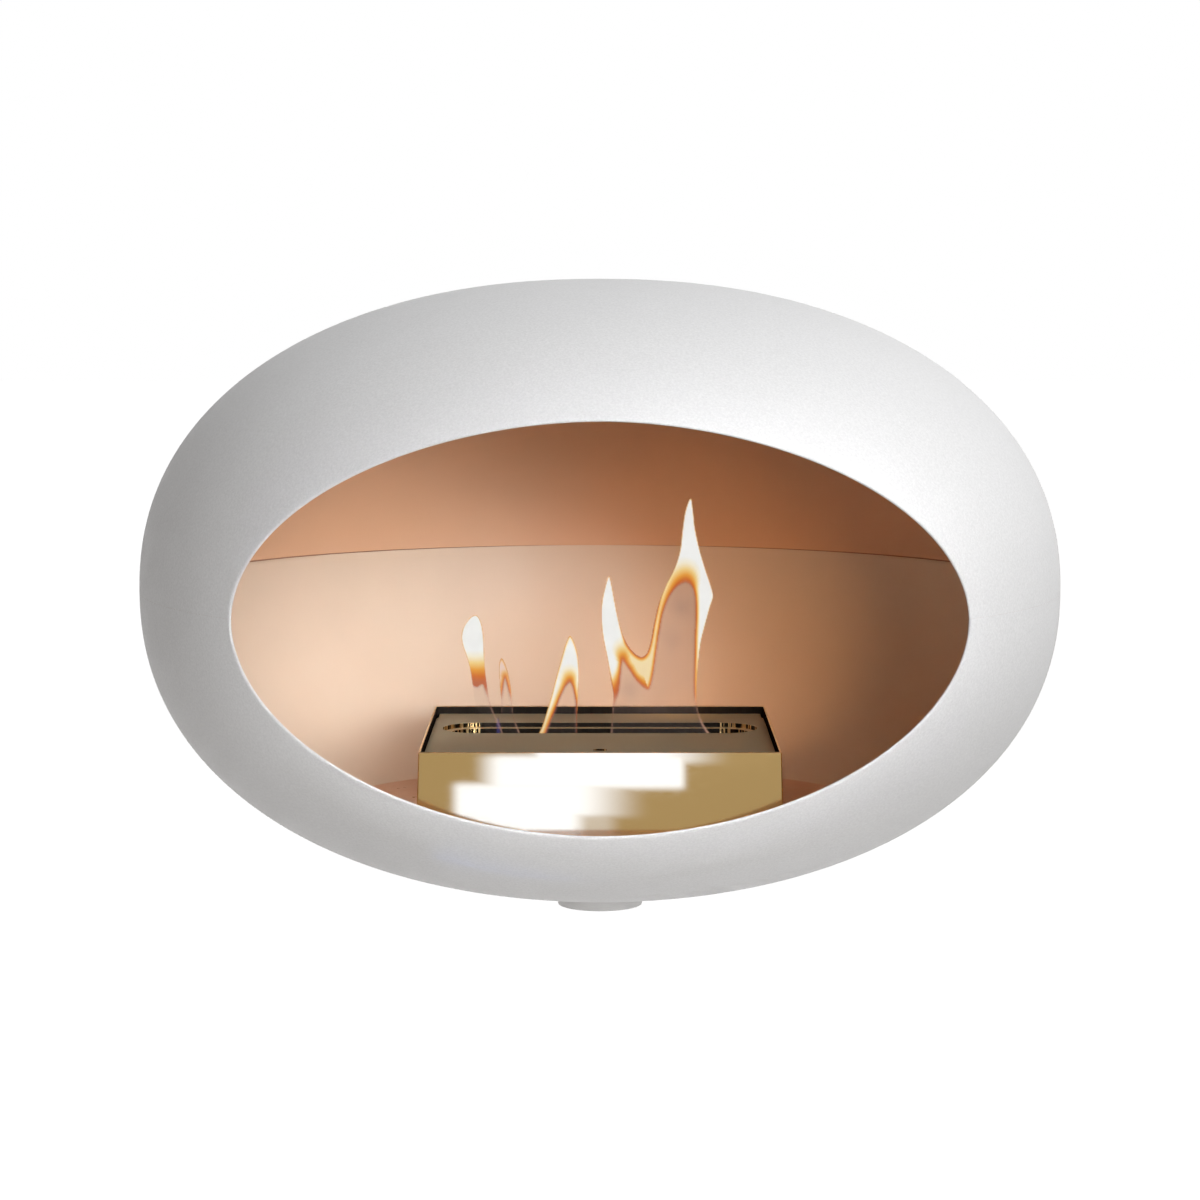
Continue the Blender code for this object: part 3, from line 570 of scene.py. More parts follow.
def make_arm():
    """The wall plate and the arm, with broken edges."""
    white = powder_coat("white_arm_coat", (0.78, 0.775, 0.765))

    def upright(x, z, y):
        return (x, y, z)

    half, spot = WALL_PLATE_HALF, WALL_HOLE_OFFSET
    outline = rounded_rectangle(half, half, WALL_PLATE_CORNER, 12)
    base = prism(outline, -WALL_PLATE_THICKNESS, 0.0, upright)
    holes = []
    for x in (-spot, spot):
        for z in (-spot, spot):
            holes.append(prism(circle(WALL_HOLE_RADIUS, (x, z), 32), -0.02, 0.02, upright))
    plate = cut_plate("wall_flange", base, [], holes, [white], "dome", ARM_BEVEL)
    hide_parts("wall_plate")

    half = ARM_HALF_WIDTH
    outline = [(-half, DOME_Y), (half, DOME_Y), (half, ARM_BACK), (-half, ARM_BACK)]
    seat = prism(circle(SEAT_CUT_RADIUS, (0, DOME_Y), 96), -0.02, 0.05)
    base = prism(outline, ARM_LOW, ARM_HIGH)
    bar = cut_plate("arm", base, [], [seat], [white], "dome", ARM_BEVEL)
    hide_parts("arm_bar")

    front = DOME_Y + SEAT_RADIUS
    reach = ARM_BACK - front
    outline = [(ARM_BACK, RIB_TOP), (front, RIB_TOP)]
    for step in range(33):
        share = step / 32
        outline.append((front + reach * share, RIB_TOP - RIB_NOSE - RIB_DROP * share ** 2))

    def sideways(y, z, x):
        return (x, y, z)

    base = prism(outline, -RIB_HALF_THICKNESS, RIB_HALF_THICKNESS, sideways)
    rib = cut_plate("arm_web", base, [], [], [white], "dome", ARM_BEVEL)
    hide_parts("arm_rib")


# The burner


def on_burner(x, y, z):
    """A place measured from the middle of the burner's footprint."""
    return (BURNER_ORIGIN.x + x, BURNER_ORIGIN.y + y, BURNER_ORIGIN.z + z)


def make_casing():
    """The flared polished casing, its rim eased and given a lighter gold as a painted highlight;
    returns the near-black painted shade of its inside.
    """
    gold = polished("polished_gold", (0.90, 0.66, 0.34))
    # Painted shade: a near-black coat on the casing's inward walls and downward flats, and on the
    # slots' straight walls.
    black_shade_coat = painted_shade_black("casing_inside_painted_shade", (0.012, 0.010, 0.008))

    def loop(level, inset):
        spread = (BURNER_HEIGHT - level) * math.tan(CASING_FLARE)
        half_x = BURNER_WIDTH / 2 + spread - inset
        half_y = BURNER_DEPTH / 2 + spread - inset
        points = rounded_rectangle(half_x, half_y, max(CASING_CORNER - inset, 0.0005), 10)
        return [on_burner(x, y, level) for x, y in points]

    top, hem, ease = BURNER_HEIGHT, CASING_HEM, CASING_EASE
    inside = CASING_BOTTOM + CASING_SHEET
    loops = [loop(hem, 0.0003), loop(hem + 0.0003, 0), loop(top - ease, 0)]
    loops += [loop(top, ease), loop(top, CASING_SHEET - ease), loop(top - ease, CASING_SHEET)]
    loops += [loop(inside, CASING_SHEET), loop(inside, CASING_FLANGE)]
    loops += [loop(CASING_BOTTOM, CASING_FLANGE), loop(CASING_BOTTOM, CASING_SHEET)]
    loops.append(loop(hem, CASING_SHEET))
    # Painted highlight: the rim's lighter, paler gold stands in for the bright line of light along
    # the casing's top edge.
    rim = polished("casing_rim_painted_highlight", (1.0, 0.84, 0.55), 0.35)

    def part_of(face):
        """The rim, a painted highlight, is 2; walls that face in and flats that face down are 1,
        painted shade; the rest 0.
        """
        across = face.normal.x * face.center.x + face.normal.y * (face.center.y - DOME_Y)
        if face.center.z > BURNER_ORIGIN.z + top - ease:
            return 2
        below = face.normal.z < -0.5
        return 1 if across < 0 and abs(face.normal.z) < 0.5 or below else 0

    casing = new_piece("casing", *loft(loops, ring=True), [gold, black_shade_coat, rim], "burner", 30, part_of)
    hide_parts("burner_casing")
    return black_shade_coat


def slotted(name, outline, level, folds, slot, fold_depth, holes, materials, body):
    """A sheet with a slot whose edge is turned down, and other folded edges.

    The slot's round ends and the hole show the second material, gold with painted reflection
    stripes, and its straight walls the third, near-black painted shade.
    """
    collar = stadium(slot[0] + 2 * SHEET, slot[1] + 2 * SHEET, (0, SLOT_Y))
    joined = [prism(edge, level - fold_depth, level - SHEET / 2, on_burner)
              for edge in [collar] + folds]
    cuts = [prism(stadium(*slot, (0, SLOT_Y)), level - 0.02, level + 0.02, on_burner)]
    cuts += [prism(hole, level - 0.0035, level + 0.02, on_burner) for hole in holes]
    base = prism(outline, level - SHEET, level, on_burner)

    def walls(face):
        x = abs(face.center.x - BURNER_ORIGIN.x)
        y = face.center.y - BURNER_ORIGIN.y
        in_hole = math.hypot(x, y - TOOL_HOLE_Y) < HOOK_HOLE_RADIUS + 0.001
        in_slot = x < slot[0] / 2 + 0.002 and abs(y - SLOT_Y) < slot[1] / 2 + 0.002
        if abs(face.normal.z) > 0.9 or not (in_hole or in_slot):
            return 0
        return 1 if in_hole or x > (slot[0] - slot[1]) / 2 - 0.0005 else 2

    return cut_plate(name, base, joined, cuts, materials, body, SHEET_BEVEL, walls)


def make_plates(black_shade_coat):
    """The lift-off top plate and the lid below it."""
    reflection_gold = gold_painted_reflection("gold_painted_reflection", (0.78, 0.56, 0.27))
    bronze = brushed("brushed_bronze", (0.34, 0.32, 0.215), 0.55, metallic=0.12)
    half, narrow = TOP_HALF_WIDTH, TOP_HALF_WIDTH - TOP_NOTCH[0]
    shoulder = TOP_REAR - TOP_NOTCH[1]
    outline = [(-half, TOP_FRONT), (half, TOP_FRONT), (half, shoulder), (narrow, shoulder)]
    outline += [(narrow, TOP_REAR), (-narrow, TOP_REAR), (-narrow, shoulder), (-half, shoulder)]
    folds = []
    for side in (-1, 1):
        inner, outer = side * (half - SHEET), side * half
        folds.append([(inner, TOP_FRONT), (outer, TOP_FRONT), (outer, shoulder), (inner, shoulder)])
    hole = circle(TOOL_HOLE_RADIUS, (0, TOOL_HOLE_Y))
    plate = slotted("cover_plate", outline, TOP_LEVEL, folds, SLOT_SIZE, FOLD_DEPTH, [hole],
                    [bronze, reflection_gold, black_shade_coat], "top_plate")
    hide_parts("top_plate")

    # Painted highlight: the lid is a much lighter gold-bronze than the top plate, so its thin strip
    # in the slot shows as a bright line.
    lid_painted_highlight = brushed("lid_bronze", (0.74, 0.56, 0.33), 0.42, metallic=0.3)
    spread = (BURNER_HEIGHT - LID_LEVEL) * math.tan(CASING_FLARE) - CASING_SHEET - LID_EDGE_GAP
    outline = rounded_rectangle(BURNER_WIDTH / 2 + spread, BURNER_DEPTH / 2 + spread, LID_CORNER)
    hook = circle(HOOK_HOLE_RADIUS, (0, TOOL_HOLE_Y))
    lid = slotted("lid", outline, LID_LEVEL, [], LID_SLOT_SIZE, LID_COLLAR, [hook],
                  [lid_painted_highlight, reflection_gold, black_shade_coat], "burner")
    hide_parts("tank_lid")


def dress_nodes():
    """Materials for the CAD pieces that stay: fasteners, tank, rails, shutter and the like."""
    zinc = brushed("zinc_plate", (0.62, 0.63, 0.65), 0.38, (1, 1, 1))
    screw = brushed("screw_steel", (0.45, 0.45, 0.46), 0.35, (1, 1, 0.05))
    steel = brushed("plain_steel", (0.55, 0.55, 0.56), 0.32)
    sooty = brushed("sooted_steel", (0.10, 0.095, 0.09), 0.55)
    seal = rubber("black_rubber", (0.025, 0.025, 0.025))
    wool = fibre("ceramic_fibre", (0.78, 0.77, 0.74))
    looks = {
        "clamp_plate": zinc, "seat_washer": zinc, "base_nut": zinc,
        "seat_screw": screw, "base_screw": screw, "rail_screw": screw,
        "burner_base_plate": steel, "shutter_rail": steel, "shutter": steel,
        "fuel_tank": sooty, "wool_retainer": sooty,
        "seat_gasket": seal, "burner_foot": seal, "ceramic_wool": wool,
    }
    for name, node in NODES.items():
        found = [key for key in looks if name.startswith(key)]
        if not found or node.hide_render:
            continue
        node.data.materials.clear()
        node.data.materials.append(looks[max(found, key=len)])
        node.data.shade_smooth()
        node.data.set_sharp_from_angle(angle=math.radians(35))


# Flames: thin luminous sheets with a clear veil, drawn as outlines in the photograph's frame


def smooth_line(points, steps=6):
    """A smooth closed curve through points."""
    points = np.array(points, float)
    count = len(points)
    made = []
    for span in range(count):
        a, b, c, d = points[[pick % count for pick in range(span - 1, span + 3)]]
        for step in range(steps):
            t = step / steps
            made.append(0.5 * (2 * b + (c - a) * t + (2 * a - 5 * b + 4 * c - d) * t * t
                               + (3 * b - a - 3 * c + d) * t ** 3))
    return np.array(made)


def distance_to(points, line):
    """Distance from each point to a closed line, its upright share, and whether inside."""
    nearest = np.full(len(points), 1e9)
    upright = np.zeros(len(points))
    inside = np.zeros(len(points), bool)
    for start, end in zip(line, np.roll(line, -1, axis=0)):
        along = end - start
        length = along @ along
        if length < 1e-12:
            continue
        share = np.clip(((points - start) @ along) / length, 0, 1)
        gap = points - (start + share[:, None] * along)
        far = np.hypot(gap[:, 0], gap[:, 1])
        upright = np.where(far < nearest, gap[:, 1] / np.maximum(far, 1e-6), upright)
        nearest = np.minimum(nearest, far)
        crosses = (start[1] > points[:, 1]) != (end[1] > points[:, 1])
        if abs(along[1]) > 1e-12:
            at = start[0] + (points[:, 1] - start[1]) / along[1] * along[0]
            inside ^= crosses & (points[:, 0] < at)
    return nearest, upright, inside


def ramp(values, low, high):
    """0 below low, 1 above high, smooth between."""
    share = np.clip((values - low) / (high - low), 0, 1)
    return share * share * (3 - 2 * share)


def from_frame(x, y, plane):
    """The place on an upright plane that the photograph's camera sees at a frame position."""
    right = (x - FRAME_PX / 2) / FOCAL_PX
    up = (FRAME_PX / 2 - y) / FOCAL_PX
    forward = math.cos(CAMERA_PITCH) + up * math.sin(CAMERA_PITCH)
    rise = up * math.cos(CAMERA_PITCH) - math.sin(CAMERA_PITCH)
    eye = Vector((0, DOME_Y - CAMERA_DISTANCE, DOME_Z + CAMERA_RISE))
    reach = (plane - eye.y) / forward
    return Vector((eye.x + right * reach, plane, eye.z + rise * reach))


FLAME_STOPS = (
    (0.00, (178, 88, 54), 0.86),
    (0.13, (204, 104, 44), 0.95),
    (0.32, (228, 158, 68), 0.97),
    (0.52, (238, 205, 134), 0.98),
    (0.76, (241, 232, 208), 0.99),
    (1.00, (239, 239, 236), 0.99),
)


def flame(name, outline, veil, plane, depth, hot=11.0, clear=0.30, cell=1.0, fade=(690, 712),
          smoke=(), ember=None, dim=0.0, foot=None):
    """One flame: a closed lens of two skins, bright within its outline and clear in its veil.

    Outlines, fade, smoke, ember and foot are in the frame's pixels, and so is cell, the mesh's
    step. Hot is the width over which the colour warms above the veil, clear the veil's cover.
    """
    outer = smooth_line(outline)
    inner = smooth_line(veil)
    low = outer.min(0) - 1
    high = outer.max(0) + 1
    high[1] = min(high[1], FLAME_LOWEST)
    xs = np.arange(low[0], high[0] + cell, cell)
    ys = np.arange(low[1], high[1] + cell, cell)
    grid = np.array([(x, y) for y in ys for x in xs])
    edge, edge_upright, within = distance_to(grid, outer)
    edge = np.where(within, edge, -edge)
    rim, rim_upright, veiled = distance_to(grid, inner)
    keep = edge > -1.2 * cell
    sunk = ramp(grid[:, 1], *fade)
    band = 4.6 + (hot - 4.6) * np.clip(-rim_upright, 0, 1) ** 2
    valley = ramp(grid[:, 1], *VALLEY_ROWS) * np.clip(edge_upright, 0, 1)
    heat = np.minimum(rim / band + 0.02, 0.34 + np.maximum(edge, 0) / (1.3 + 7.5 * valley))
    if ember:
        x0, x1, x2, x3, y0, y1 = ember
        mask = ramp(grid[:, 0], x0, x1) * (1 - ramp(grid[:, 0], x2, x3))
        mask = mask * ramp(grid[:, 1], y0, y1)
        glow = np.minimum(np.minimum(edge / (4.0 + 3.0 * valley), rim / 3.8) + 0.02, 0.62)
        heat += (np.minimum(heat, glow) - heat) * mask
        heat *= 1 - 0.84 * ramp(grid[:, 1], *EMBER_ROWS) * (1 - ramp(grid[:, 0], x0, x1))
    if foot:
        fall = np.clip((foot[1] - grid[:, 1]) / (foot[1] - foot[0]), 0.06, 1) ** 1.4
        heat = np.minimum(fall, 0.34 + np.maximum(edge, 0) / 1.3)
    heat = np.clip(heat, 0, 1)
    colours = np.zeros((len(grid), 4))
    stops = np.array([stop[0] for stop in FLAME_STOPS])
    for channel in range(3):
        values = [linear(stop[1][channel])[0] for stop in FLAME_STOPS]
        colours[:, channel] = np.interp(heat, stops, values)
    colours[:, :3] += (np.array(linear(206, 128, 88)) - colours[:, :3]) * dim
    pale = np.array(linear(214, 176, 158))
    colours[:, :3] += (pale - colours[:, :3]) * (0.75 * sunk)[:, None]
    cover = np.interp(heat, stops, [stop[2] for stop in FLAME_STOPS])
    solid = np.clip(np.minimum(edge, rim) / 1.6, 0, 1)
    cover *= 1 - sunk * (0.85 - 0.65 * solid)
    mist = np.array(linear(158, 140, 134))
    near = np.clip(1 - rim / 2.4, 0, 1) * (1 - 0.85 * sunk)
    border = np.array(linear(176, 92, 66))
    colours[veiled, :3] = (border * near[:, None] + mist * (1 - near[:, None]))[veiled]
    haze = clear * (1 - 0.75 * ramp(grid[:, 1], *HAZE_ROWS))
    for x, y, size, amount in smoke:
        haze = haze + amount * np.exp(-((grid[:, 0] - x) ** 2 + (grid[:, 1] - y) ** 2) / size ** 2)
    cover = np.where(veiled, haze + (0.60 - haze) * near ** 1.3, cover)
    cover *= np.clip(edge / 1.2 + 0.55, 0, 1)
    colours[:, 3] = 1 - np.sqrt(1 - np.clip(cover, 0, 0.99))
    width = len(xs)
    vertices, values, skins = [], [], []
    for side in (-1, 1):
        made = {}
        for place in np.nonzero(keep)[0]:
            made[place] = len(vertices)
            swell = depth * (1 - math.exp(-max(edge[place], 0) / 9.0))
            sway = 0.004 * math.sin(grid[place][1] / 31.0 + plane * 400)
            point = from_frame(*grid[place], plane)
            vertices.append(point + Vector((0, side * (swell + 0.0002) + sway, 0)))
            values.append(colours[place])
        skins.append(made)
    front, back = skins
    faces = []
    for row in range(len(ys) - 1):
        for column in range(width - 1):
            corners = [row * width + column, row * width + column + 1,
                       (row + 1) * width + column + 1, (row + 1) * width + column]
            if all(corner in front for corner in corners) and edge[corners].max() > 0:
                faces.append(tuple(front[corner] for corner in corners))
                faces.append(tuple(back[corner] for corner in reversed(corners)))
    piece = new_piece(name, vertices, faces, [flame_light()], "burner", 180)
    layer = piece.data.color_attributes.new("glow", "FLOAT_COLOR", "POINT")
    layer.data.foreach_set("color", np.array(values, np.float32).ravel())
    piece.visible_shadow = False
    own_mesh(piece)
    return piece


def flame_light():
    """Light of the flames: colour and cover come from the sheet, with a faint flicker."""
    found = bpy.data.materials.get("flame_light")
    if found:
        return found
    made = bpy.data.materials.new("flame_light")
    made.use_nodes = True
    tree = made.node_tree
    tree.nodes.remove(tree.nodes["Principled BSDF"])
    glow = tree.nodes.new("ShaderNodeVertexColor")
    glow.layer_name = "glow"
    place = tree.nodes.new("ShaderNodeTexCoord")
    noise = tree.nodes.new("ShaderNodeTexNoise")
    noise.inputs["Scale"].default_value = 38
    noise.inputs["Detail"].default_value = 2
    tree.links.new(place.outputs["Object"], noise.inputs["Vector"])
    ripple = tree.nodes.new("ShaderNodeMapRange")
    ripple.inputs["From Min"].default_value = 0.3
    ripple.inputs["From Max"].default_value = 0.7
    ripple.inputs["To Min"].default_value = 0.86
    ripple.inputs["To Max"].default_value = 1.06
    tree.links.new(noise.outputs["Fac"], ripple.inputs["Value"])
    cover = tree.nodes.new("ShaderNodeMath")
    cover.operation = "MULTIPLY"
    cover.use_clamp = True
    tree.links.new(glow.outputs["Alpha"], cover.inputs[0])
    tree.links.new(ripple.outputs["Result"], cover.inputs[1])
    light = tree.nodes.new("ShaderNodeEmission")
    tree.links.new(glow.outputs["Color"], light.inputs["Color"])
    clear = tree.nodes.new("ShaderNodeBsdfTransparent")
    mixed = tree.nodes.new("ShaderNodeMixShader")
    tree.links.new(cover.outputs["Value"], mixed.inputs["Fac"])
    tree.links.new(clear.outputs["BSDF"], mixed.inputs[1])
    tree.links.new(light.outputs["Emission"], mixed.inputs[2])
    tree.links.new(mixed.outputs["Shader"], tree.nodes["Material Output"].inputs["Surface"])
    return made


def make_flames():
    """Five tongues above the slot, from left to right."""
    flame("flame_1",
          [(472.5, 685), (470.4, 671), (467, 657.4), (463, 646), (461.6, 636.7), (463.5, 627.6),
           (467.6, 620.7), (472.1, 616.1), (476.4, 615.2), (479.6, 618.9), (481.9, 626.4),
           (483.4, 638), (483.9, 651.7), (484.5, 666.6), (485.9, 680.4), (488.2, 695.3),
           (491.7, 708), (496.3, 718), (503, 733), (505, 748), (490, 748), (488, 733), (480, 715),
           (474.4, 700)],
          [(470, 681), (473, 685.6), (477, 687), (481, 684.6), (483.8, 686), (486.8, 697),
           (490, 708), (495, 720), (502, 735), (505, 752), (480, 752), (470, 715)],
          FLAME_Y + 0.003, 0.006, clear=0.10, cell=0.8, fade=(686, 702), foot=(650, 685))
    flame("flame_2",
          [(499.6, 662.5), (502, 657.8), (504.9, 662.6), (507.7, 671.2), (510, 682.7),
           (511.5, 694.1), (512.4, 705.6), (514, 718), (520.4, 735), (522, 748), (501, 748),
           (500.8, 733), (501.4, 709.1), (501.2, 698.7), (500.4, 687.2), (499.4, 673.5)],
          [(505.1, 677.5), (502.8, 687.2), (501.8, 698), (501.8, 712), (501.5, 750), (521.5, 750),
           (513.5, 720), (511.4, 706), (510.3, 697.6), (508.3, 687.2)],
          FLAME_Y - 0.003, 0.004, hot=12.0, clear=0.10, cell=0.7, fade=(688, 708), dim=0.45)
    flame("flame_3",
          [(539, 733.7), (543.3, 724), (547.9, 709.1), (551.9, 695.3), (555.9, 679.2),
           (560, 664.3), (563.4, 651.7), (566.3, 642.5), (570, 635.6), (573.7, 641.3),
           (576.6, 650.5), (578.1, 660.8), (578.7, 673.5), (578.3, 687.2), (577.4, 703.3),
           (576.8, 733.7), (576.6, 748), (532, 748)],
          [(545.6, 733.7), (550.2, 721.7), (554.8, 710.2), (559.4, 698.7), (564, 688.6),
           (567.4, 683.6), (570.3, 682.4), (573, 687.2), (575.2, 697.6), (576.4, 707),
           (576.8, 733), (576.6, 752), (538.5, 752)],
          FLAME_Y + 0.001, 0.007, hot=20.0, clear=0.13, cell=0.8, fade=(700, 800))
    flame("flame_4",
          [(610.7, 733), (612.5, 710.4), (613.4, 694.3), (610.7, 678.2), (607.1, 656.8),
           (603.2, 637.1), (601.4, 619.3), (601.8, 603.2), (604.5, 588.9), (608.8, 576.2),
           (611.6, 585.4), (614.3, 599.6), (617.9, 617.5), (622.3, 633.6), (628.6, 646.1),
           (635.7, 654.1), (642, 656.8), (647.3, 652.3), (650.9, 640.7), (654.5, 621.1),
           (658.9, 603.2), (666.1, 585.4), (675, 567.5), (680.4, 549.6), (682.5, 531.8),
           (685.4, 512.1), (690.7, 498.6), (693.2, 512.1), (695, 528.2), (699.1, 547.9),
           (705.4, 569.3), (710.7, 585.4), (713, 596.1), (709.8, 606.8), (705.4, 622.9),
           (700.9, 640.7), (698.6, 658.6), (697, 676.4), (696.4, 690.7), (697.3, 706.8),
           (700.9, 719.3), (707.1, 730), (712, 736), (720, 748), (609, 748)],
          [(612.6, 735), (613.6, 712), (615.2, 703.2), (618.6, 690), (620.2, 674), (622.3, 660.4),
           (628.6, 667.5), (635.7, 678.2), (642.9, 685.4), (648.2, 688), (650.9, 681.8),
           (653.6, 667.5), (656.3, 647.9), (658.9, 630), (662.5, 612.1), (668.8, 596.1),
           (676.8, 585.4), (685.7, 581.4), (692, 585.4), (695.2, 596.1), (695.7, 613.9),
           (695, 635.4), (694.6, 658.6), (694.3, 680), (694.8, 697.9), (697, 712), (701, 724.6),
           (707, 735), (716, 752), (611, 752)],
          FLAME_Y, 0.010, hot=26.0, clear=0.22, fade=(690, 712),
          smoke=((682, 606, 11, 0.16), (672, 640, 12, 0.10),
                 (629, 690, 11, 0.20), (655, 700, 16, 0.06)),
          ember=(620, 626, 676, 692, 586, 612))
    flame("flame_5",
          [(496.6, 719), (498.4, 716), (500.2, 719), (501, 727), (500.5, 736), (500, 748),
           (497, 748), (496.4, 736), (496, 727)],
          [(490, 760), (491, 762), (489, 762)],
          FLAME_Y - 0.008, 0.002, hot=30.0, cell=0.6)
    blue = bpy.data.objects["flame_5"].data.color_attributes["glow"]
    tone = np.empty(len(blue.data) * 4, np.float32)
    blue.data.foreach_get("color", tone)
    tone = tone.reshape(-1, 4)
    tone[:, :3] = linear(78, 76, 140)
    tone[:, 3] *= 0.38
    blue.data.foreach_set("color", tone.ravel())


# Stage


def ray_mask(tree):
    """1 for camera, glossy and transmission rays, 0 for the rest."""
    path = tree.nodes.new("ShaderNodeLightPath")
    total = path.outputs["Is Camera Ray"]
    for name in ("Is Glossy Ray", "Is Transmission Ray"):
        add = tree.nodes.new("ShaderNodeMath")
        add.operation = "ADD"
        add.use_clamp = True
        tree.links.new(total, add.inputs[0])
        tree.links.new(path.outputs[name], add.inputs[1])
        total = add.outputs["Value"]
    return total


def make_world(ambient):
    """White to the eye, a plain grey light on the object."""
    world = bpy.data.worlds.new("studio")
    bpy.context.scene.world = world
    world.use_nodes = True
    tree = world.node_tree
    tree.nodes.clear()
    seen = tree.nodes.new("ShaderNodeBackground")
    seen.inputs["Strength"].default_value = 1.0
    seen.inputs["Color"].default_value = (1, 1, 1, 1)
    felt = tree.nodes.new("ShaderNodeBackground")
    felt.inputs["Strength"].default_value = ambient
    felt.inputs["Color"].default_value = (1.0, 0.995, 0.985, 1)
    mixed = tree.nodes.new("ShaderNodeMixShader")
    tree.links.new(ray_mask(tree), mixed.inputs["Fac"])
    tree.links.new(felt.outputs["Background"], mixed.inputs[1])
    tree.links.new(seen.outputs["Background"], mixed.inputs[2])
    output = tree.nodes.new("ShaderNodeOutputWorld")
    tree.links.new(mixed.outputs["Shader"], output.inputs["Surface"])


def flat_mesh(name, corners, material):
    """A four-cornered stage panel."""
    mesh = bpy.data.meshes.new(name)
    mesh.from_pydata([tuple(corner) for corner in corners], [], [tuple(range(len(corners)))])
    mesh.materials.append(material)
    panel = bpy.data.objects.new(name, mesh)
    bpy.context.scene.collection.objects.link(panel)
    return panel


def make_floor(lift):
    """A pale floor well below the fireplace; it takes the shadow and still looks white."""
    made = bpy.data.materials.new("pale_floor")
    made.use_nodes = True
    tree = made.node_tree
    shader = tree.nodes["Principled BSDF"]
    shader.inputs["Base Color"].default_value = (0.77, 0.755, 0.74, 1)
    shader.inputs["Roughness"].default_value = 0.9
    shader.inputs["Specular IOR Level"].default_value = 0.0
    glow = tree.nodes.new("ShaderNodeEmission")
    glow.inputs["Strength"].default_value = lift
    none = tree.nodes.new("ShaderNodeEmission")
    none.inputs["Strength"].default_value = 0.0
    mixed = tree.nodes.new("ShaderNodeMixShader")
    tree.links.new(ray_mask(tree), mixed.inputs["Fac"])
    tree.links.new(none.outputs["Emission"], mixed.inputs[1])
    tree.links.new(glow.outputs["Emission"], mixed.inputs[2])
    both = tree.nodes.new("ShaderNodeAddShader")
    tree.links.new(shader.outputs["BSDF"], both.inputs[0])
    tree.links.new(mixed.outputs["Shader"], both.inputs[1])
    tree.links.new(both.outputs["Shader"], tree.nodes["Material Output"].inputs["Surface"])
    far = STAGE_FLOOR_REACH
    square = ((-far, -far), (far, -far), (far, far), (-far, far))
    flat_mesh("floor", [(x, y, STAGE_FLOOR_Z) for x, y in square], made)


def softbox(name, place, target, size, power, colour=(1, 1, 1)):
    """A flat lamp aimed at a point."""
    data = bpy.data.lights.new(name, "AREA")
    data.shape = "RECTANGLE"
    data.size, data.size_y = size
    data.energy = power
    data.color = colour
    lamp = bpy.data.objects.new(name, data)
    lamp.location = place
    aim = Vector(target) - Vector(place)
    lamp.rotation_mode = "QUATERNION"
    lamp.rotation_quaternion = aim.to_track_quat("-Z", "Y")
    bpy.context.scene.collection.objects.link(lamp)
    lamp.visible_camera = False
    return lamp


def toward(azimuth, elevation, distance=3.4):
    """A place seen from the dome's centre: azimuth turns from the front towards the right."""
    turn, rise = math.radians(azimuth), math.radians(elevation)
    ahead = Vector((math.sin(turn) * math.cos(rise),
                    -math.cos(turn) * math.cos(rise), math.sin(rise)))
    return Vector((0, DOME_Y, DOME_Z)) + ahead * distance


def mirrored(x, y):
    """Where on the reflector's plane the casing's front mirrors a frame position."""
    eye = Vector((0, DOME_Y - CAMERA_DISTANCE, DOME_Z + CAMERA_RISE))
    front = BURNER_ORIGIN.y - BURNER_DEPTH / 2
    lean = Vector((0, -math.cos(CASING_FLARE), math.sin(CASING_FLARE)))
    place = from_frame(x, y, front)
    ray = (place - eye).normalized()
    away = ray - 2 * ray.dot(lean) * lean
    return place + away * ((REFLECTOR_Y - place.y) / away.y)


def make_reflector():
    """A soft-edged panel of light before the casing that only reflections see."""
    xs = np.arange(300, 901, 4.0)
    ys = np.arange(734, 841, 1.5)
    # Left, right, top and bottom in the frame, softness left and right, strength
    rows = (
        (530, 700, 744, 763, 9, 44, 1.0),
        (480, 689, 755, 788, 18, 5, 1.0),
        (446, 612, 783, 816, 8, 44, 1.0),
        (446, 582, 806, 850, 8, 16, 1.0),
        (575, 614, 806, 850, 12, 12, 0.30),
    )
    soft_end = 4.5
    warm = np.array(REFLECTOR_WARM)
    white = np.array(REFLECTOR_WHITE)
    vertices, colours = [], []
    for y in ys:
        for x in xs:
            level = 0.0
            for x0, x1, y0, y1, soft_left, soft_right, top in rows:
                sides = ramp(x, x0 - soft_left, x0 + soft_left)
                sides = sides * (1 - ramp(x, x1 - soft_right, x1 + soft_right))
                ends = ramp(y, y0 - soft_end, y0 + soft_end)
                ends = ends * (1 - ramp(y, y1 - soft_end, y1 + soft_end))
                level = max(level, top * sides * ends)
            vertices.append(mirrored(x, y))
            colours.append((*(warm + (white - warm) * level), 1.0))
    width = len(xs)
    faces = []
    for row in range(len(ys) - 1):
        for column in range(width - 1):
            first = row * width + column
            faces.append((first, first + 1, first + width + 1, first + width))
    mesh = bpy.data.meshes.new("reflector")
    mesh.from_pydata([tuple(point) for point in vertices], [], faces)
    layer = mesh.color_attributes.new("level", "FLOAT_COLOR", "POINT")
    layer.data.foreach_set("color", np.array(colours, np.float32).ravel())
    material = bpy.data.materials.new("reflector")
    material.use_nodes = True
    tree = material.node_tree
    tree.nodes.remove(tree.nodes["Principled BSDF"])
    level = tree.nodes.new("ShaderNodeVertexColor")
    level.layer_name = "level"
    light = tree.nodes.new("ShaderNodeEmission")
    tree.links.new(level.outputs["Color"], light.inputs["Color"])
    tree.links.new(light.outputs["Emission"], tree.nodes["Material Output"].inputs["Surface"])
    mesh.materials.append(material)
    panel = bpy.data.objects.new("reflector", mesh)
    bpy.context.scene.collection.objects.link(panel)
    for kind in ("camera", "diffuse", "transmission", "shadow", "volume_scatter"):
        setattr(panel, f"visible_{kind}", False)


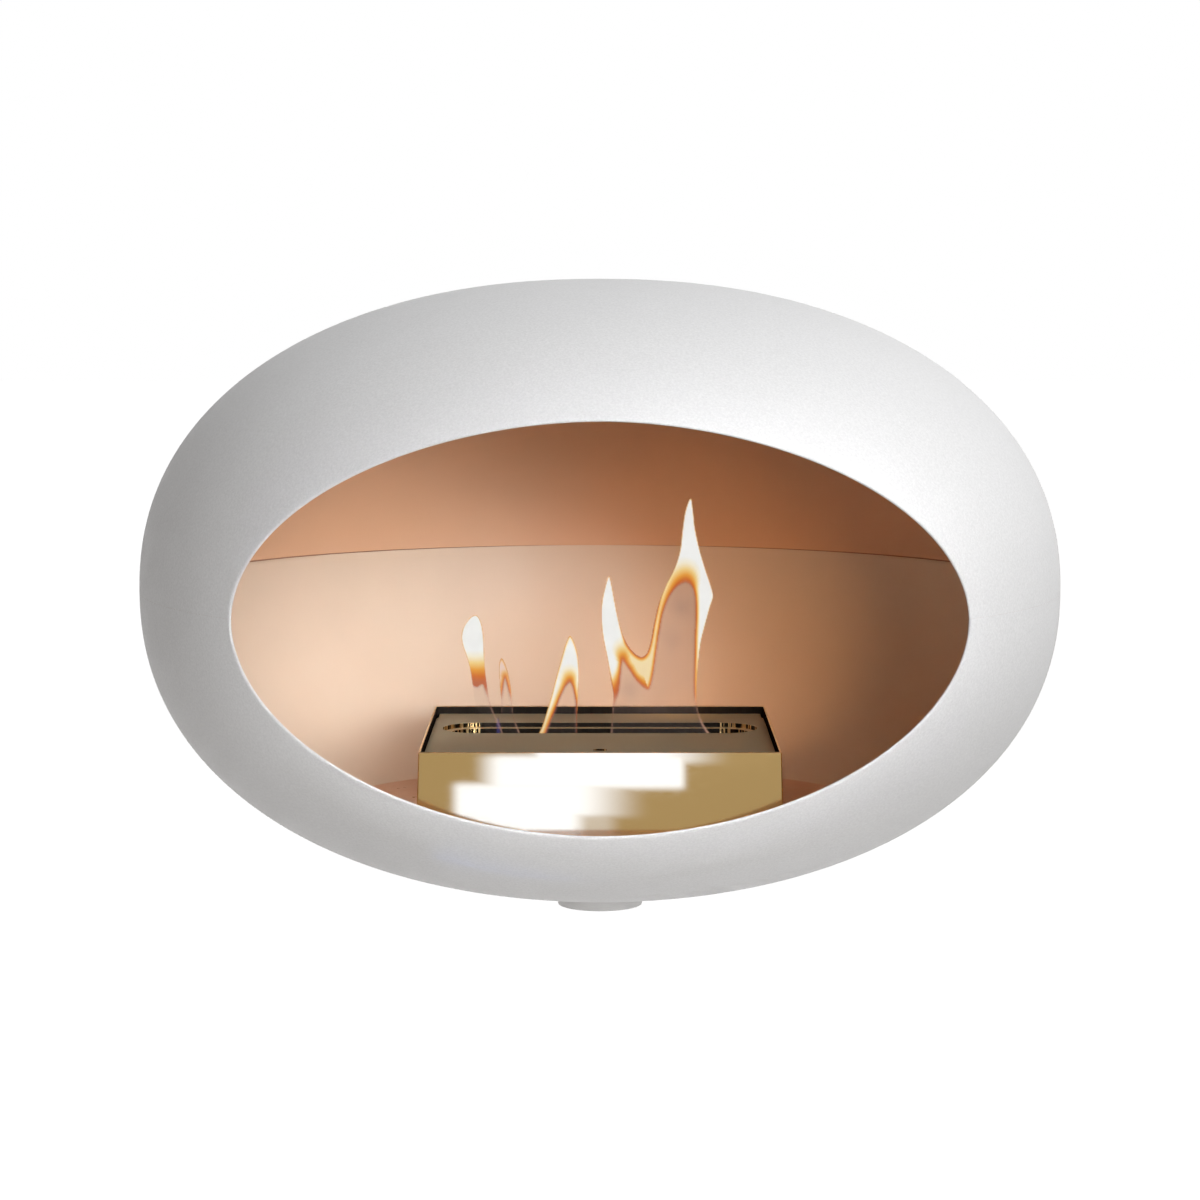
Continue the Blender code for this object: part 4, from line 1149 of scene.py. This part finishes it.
def make_stage():
    """World, floor, lamps, reflector and camera."""
    make_world(0.10)
    make_floor(0.97)
    centre = Vector((0, DOME_Y, DOME_Z))
    softbox("key", toward(17.5, 9.6), centre, (1.6, 1.6), 52)
    softbox("high_right", toward(75, 50), centre, (1.5, 1.5), 43)
    softbox("top", toward(45, 70), centre, (1.5, 1.5), 29)
    softbox("left_rim", toward(-97, 14), centre, (1.2, 1.2), 13, (1, 0.95, 0.91))
    softbox("left_low", toward(-40, -8), centre, (1.2, 1.2), 7, (1, 0.95, 0.91))
    softbox("right_rim", toward(98, 18), centre, (1.2, 1.2), 14, (1, 0.98, 0.96))
    softbox("back", toward(180, -4), centre, (1.5, 1.5), 34)

    # Two narrow beams through the mouth: azimuth, elevation, spread, power
    for name, azimuth, elevation, spread, power in (
            ("beam_wide", 24, 9, 25, 0.285),
            ("beam_low", 12, 12, 8, 0.07)):
        place = MOUTH_CENTRE + (toward(azimuth, elevation, 1.0) - centre)
        lamp = softbox(name, place, MOUTH_CENTRE, (0.46, 0.25), power)
        lamp.data.shape = "ELLIPSE"
        lamp.data.spread = math.radians(spread)

    # Two small lamps inside the dome: place, target, spread, power, colour
    for name, place, target, spread, power, colour in (
            ("fire_back", (0.050, -0.37, 0.21), (0.075, -0.06, 0.160), 80, 0.085, (1, 0.51, 0.20)),
            ("side_fill", (-0.205, -0.60, 0.24), (-0.20, -0.20, 0.15), 60, 0.09, (1, 0.95, 0.90))):
        lamp = softbox(name, place, target, (0.06, 0.04), power, colour)
        lamp.data.spread = math.radians(spread)
        lamp.visible_glossy = False

    make_reflector()

    data = bpy.data.cameras.new("camera")
    data.sensor_width = 36.0
    data.lens = 36.0 * FOCAL_PX / FRAME_PX
    data.clip_start = 0.05
    data.clip_end = 200
    camera = bpy.data.objects.new("camera", data)
    camera.location = (0, DOME_Y - CAMERA_DISTANCE, DOME_Z + CAMERA_RISE)
    camera.rotation_euler = (math.pi / 2 - CAMERA_PITCH, 0, 0)
    bpy.context.scene.collection.objects.link(camera)
    bpy.context.scene.camera = camera
    bpy.context.scene.view_settings.view_transform = "Standard"


make_dome()
make_arm()
make_plates(make_casing())
dress_nodes()
make_flames()
make_stage()
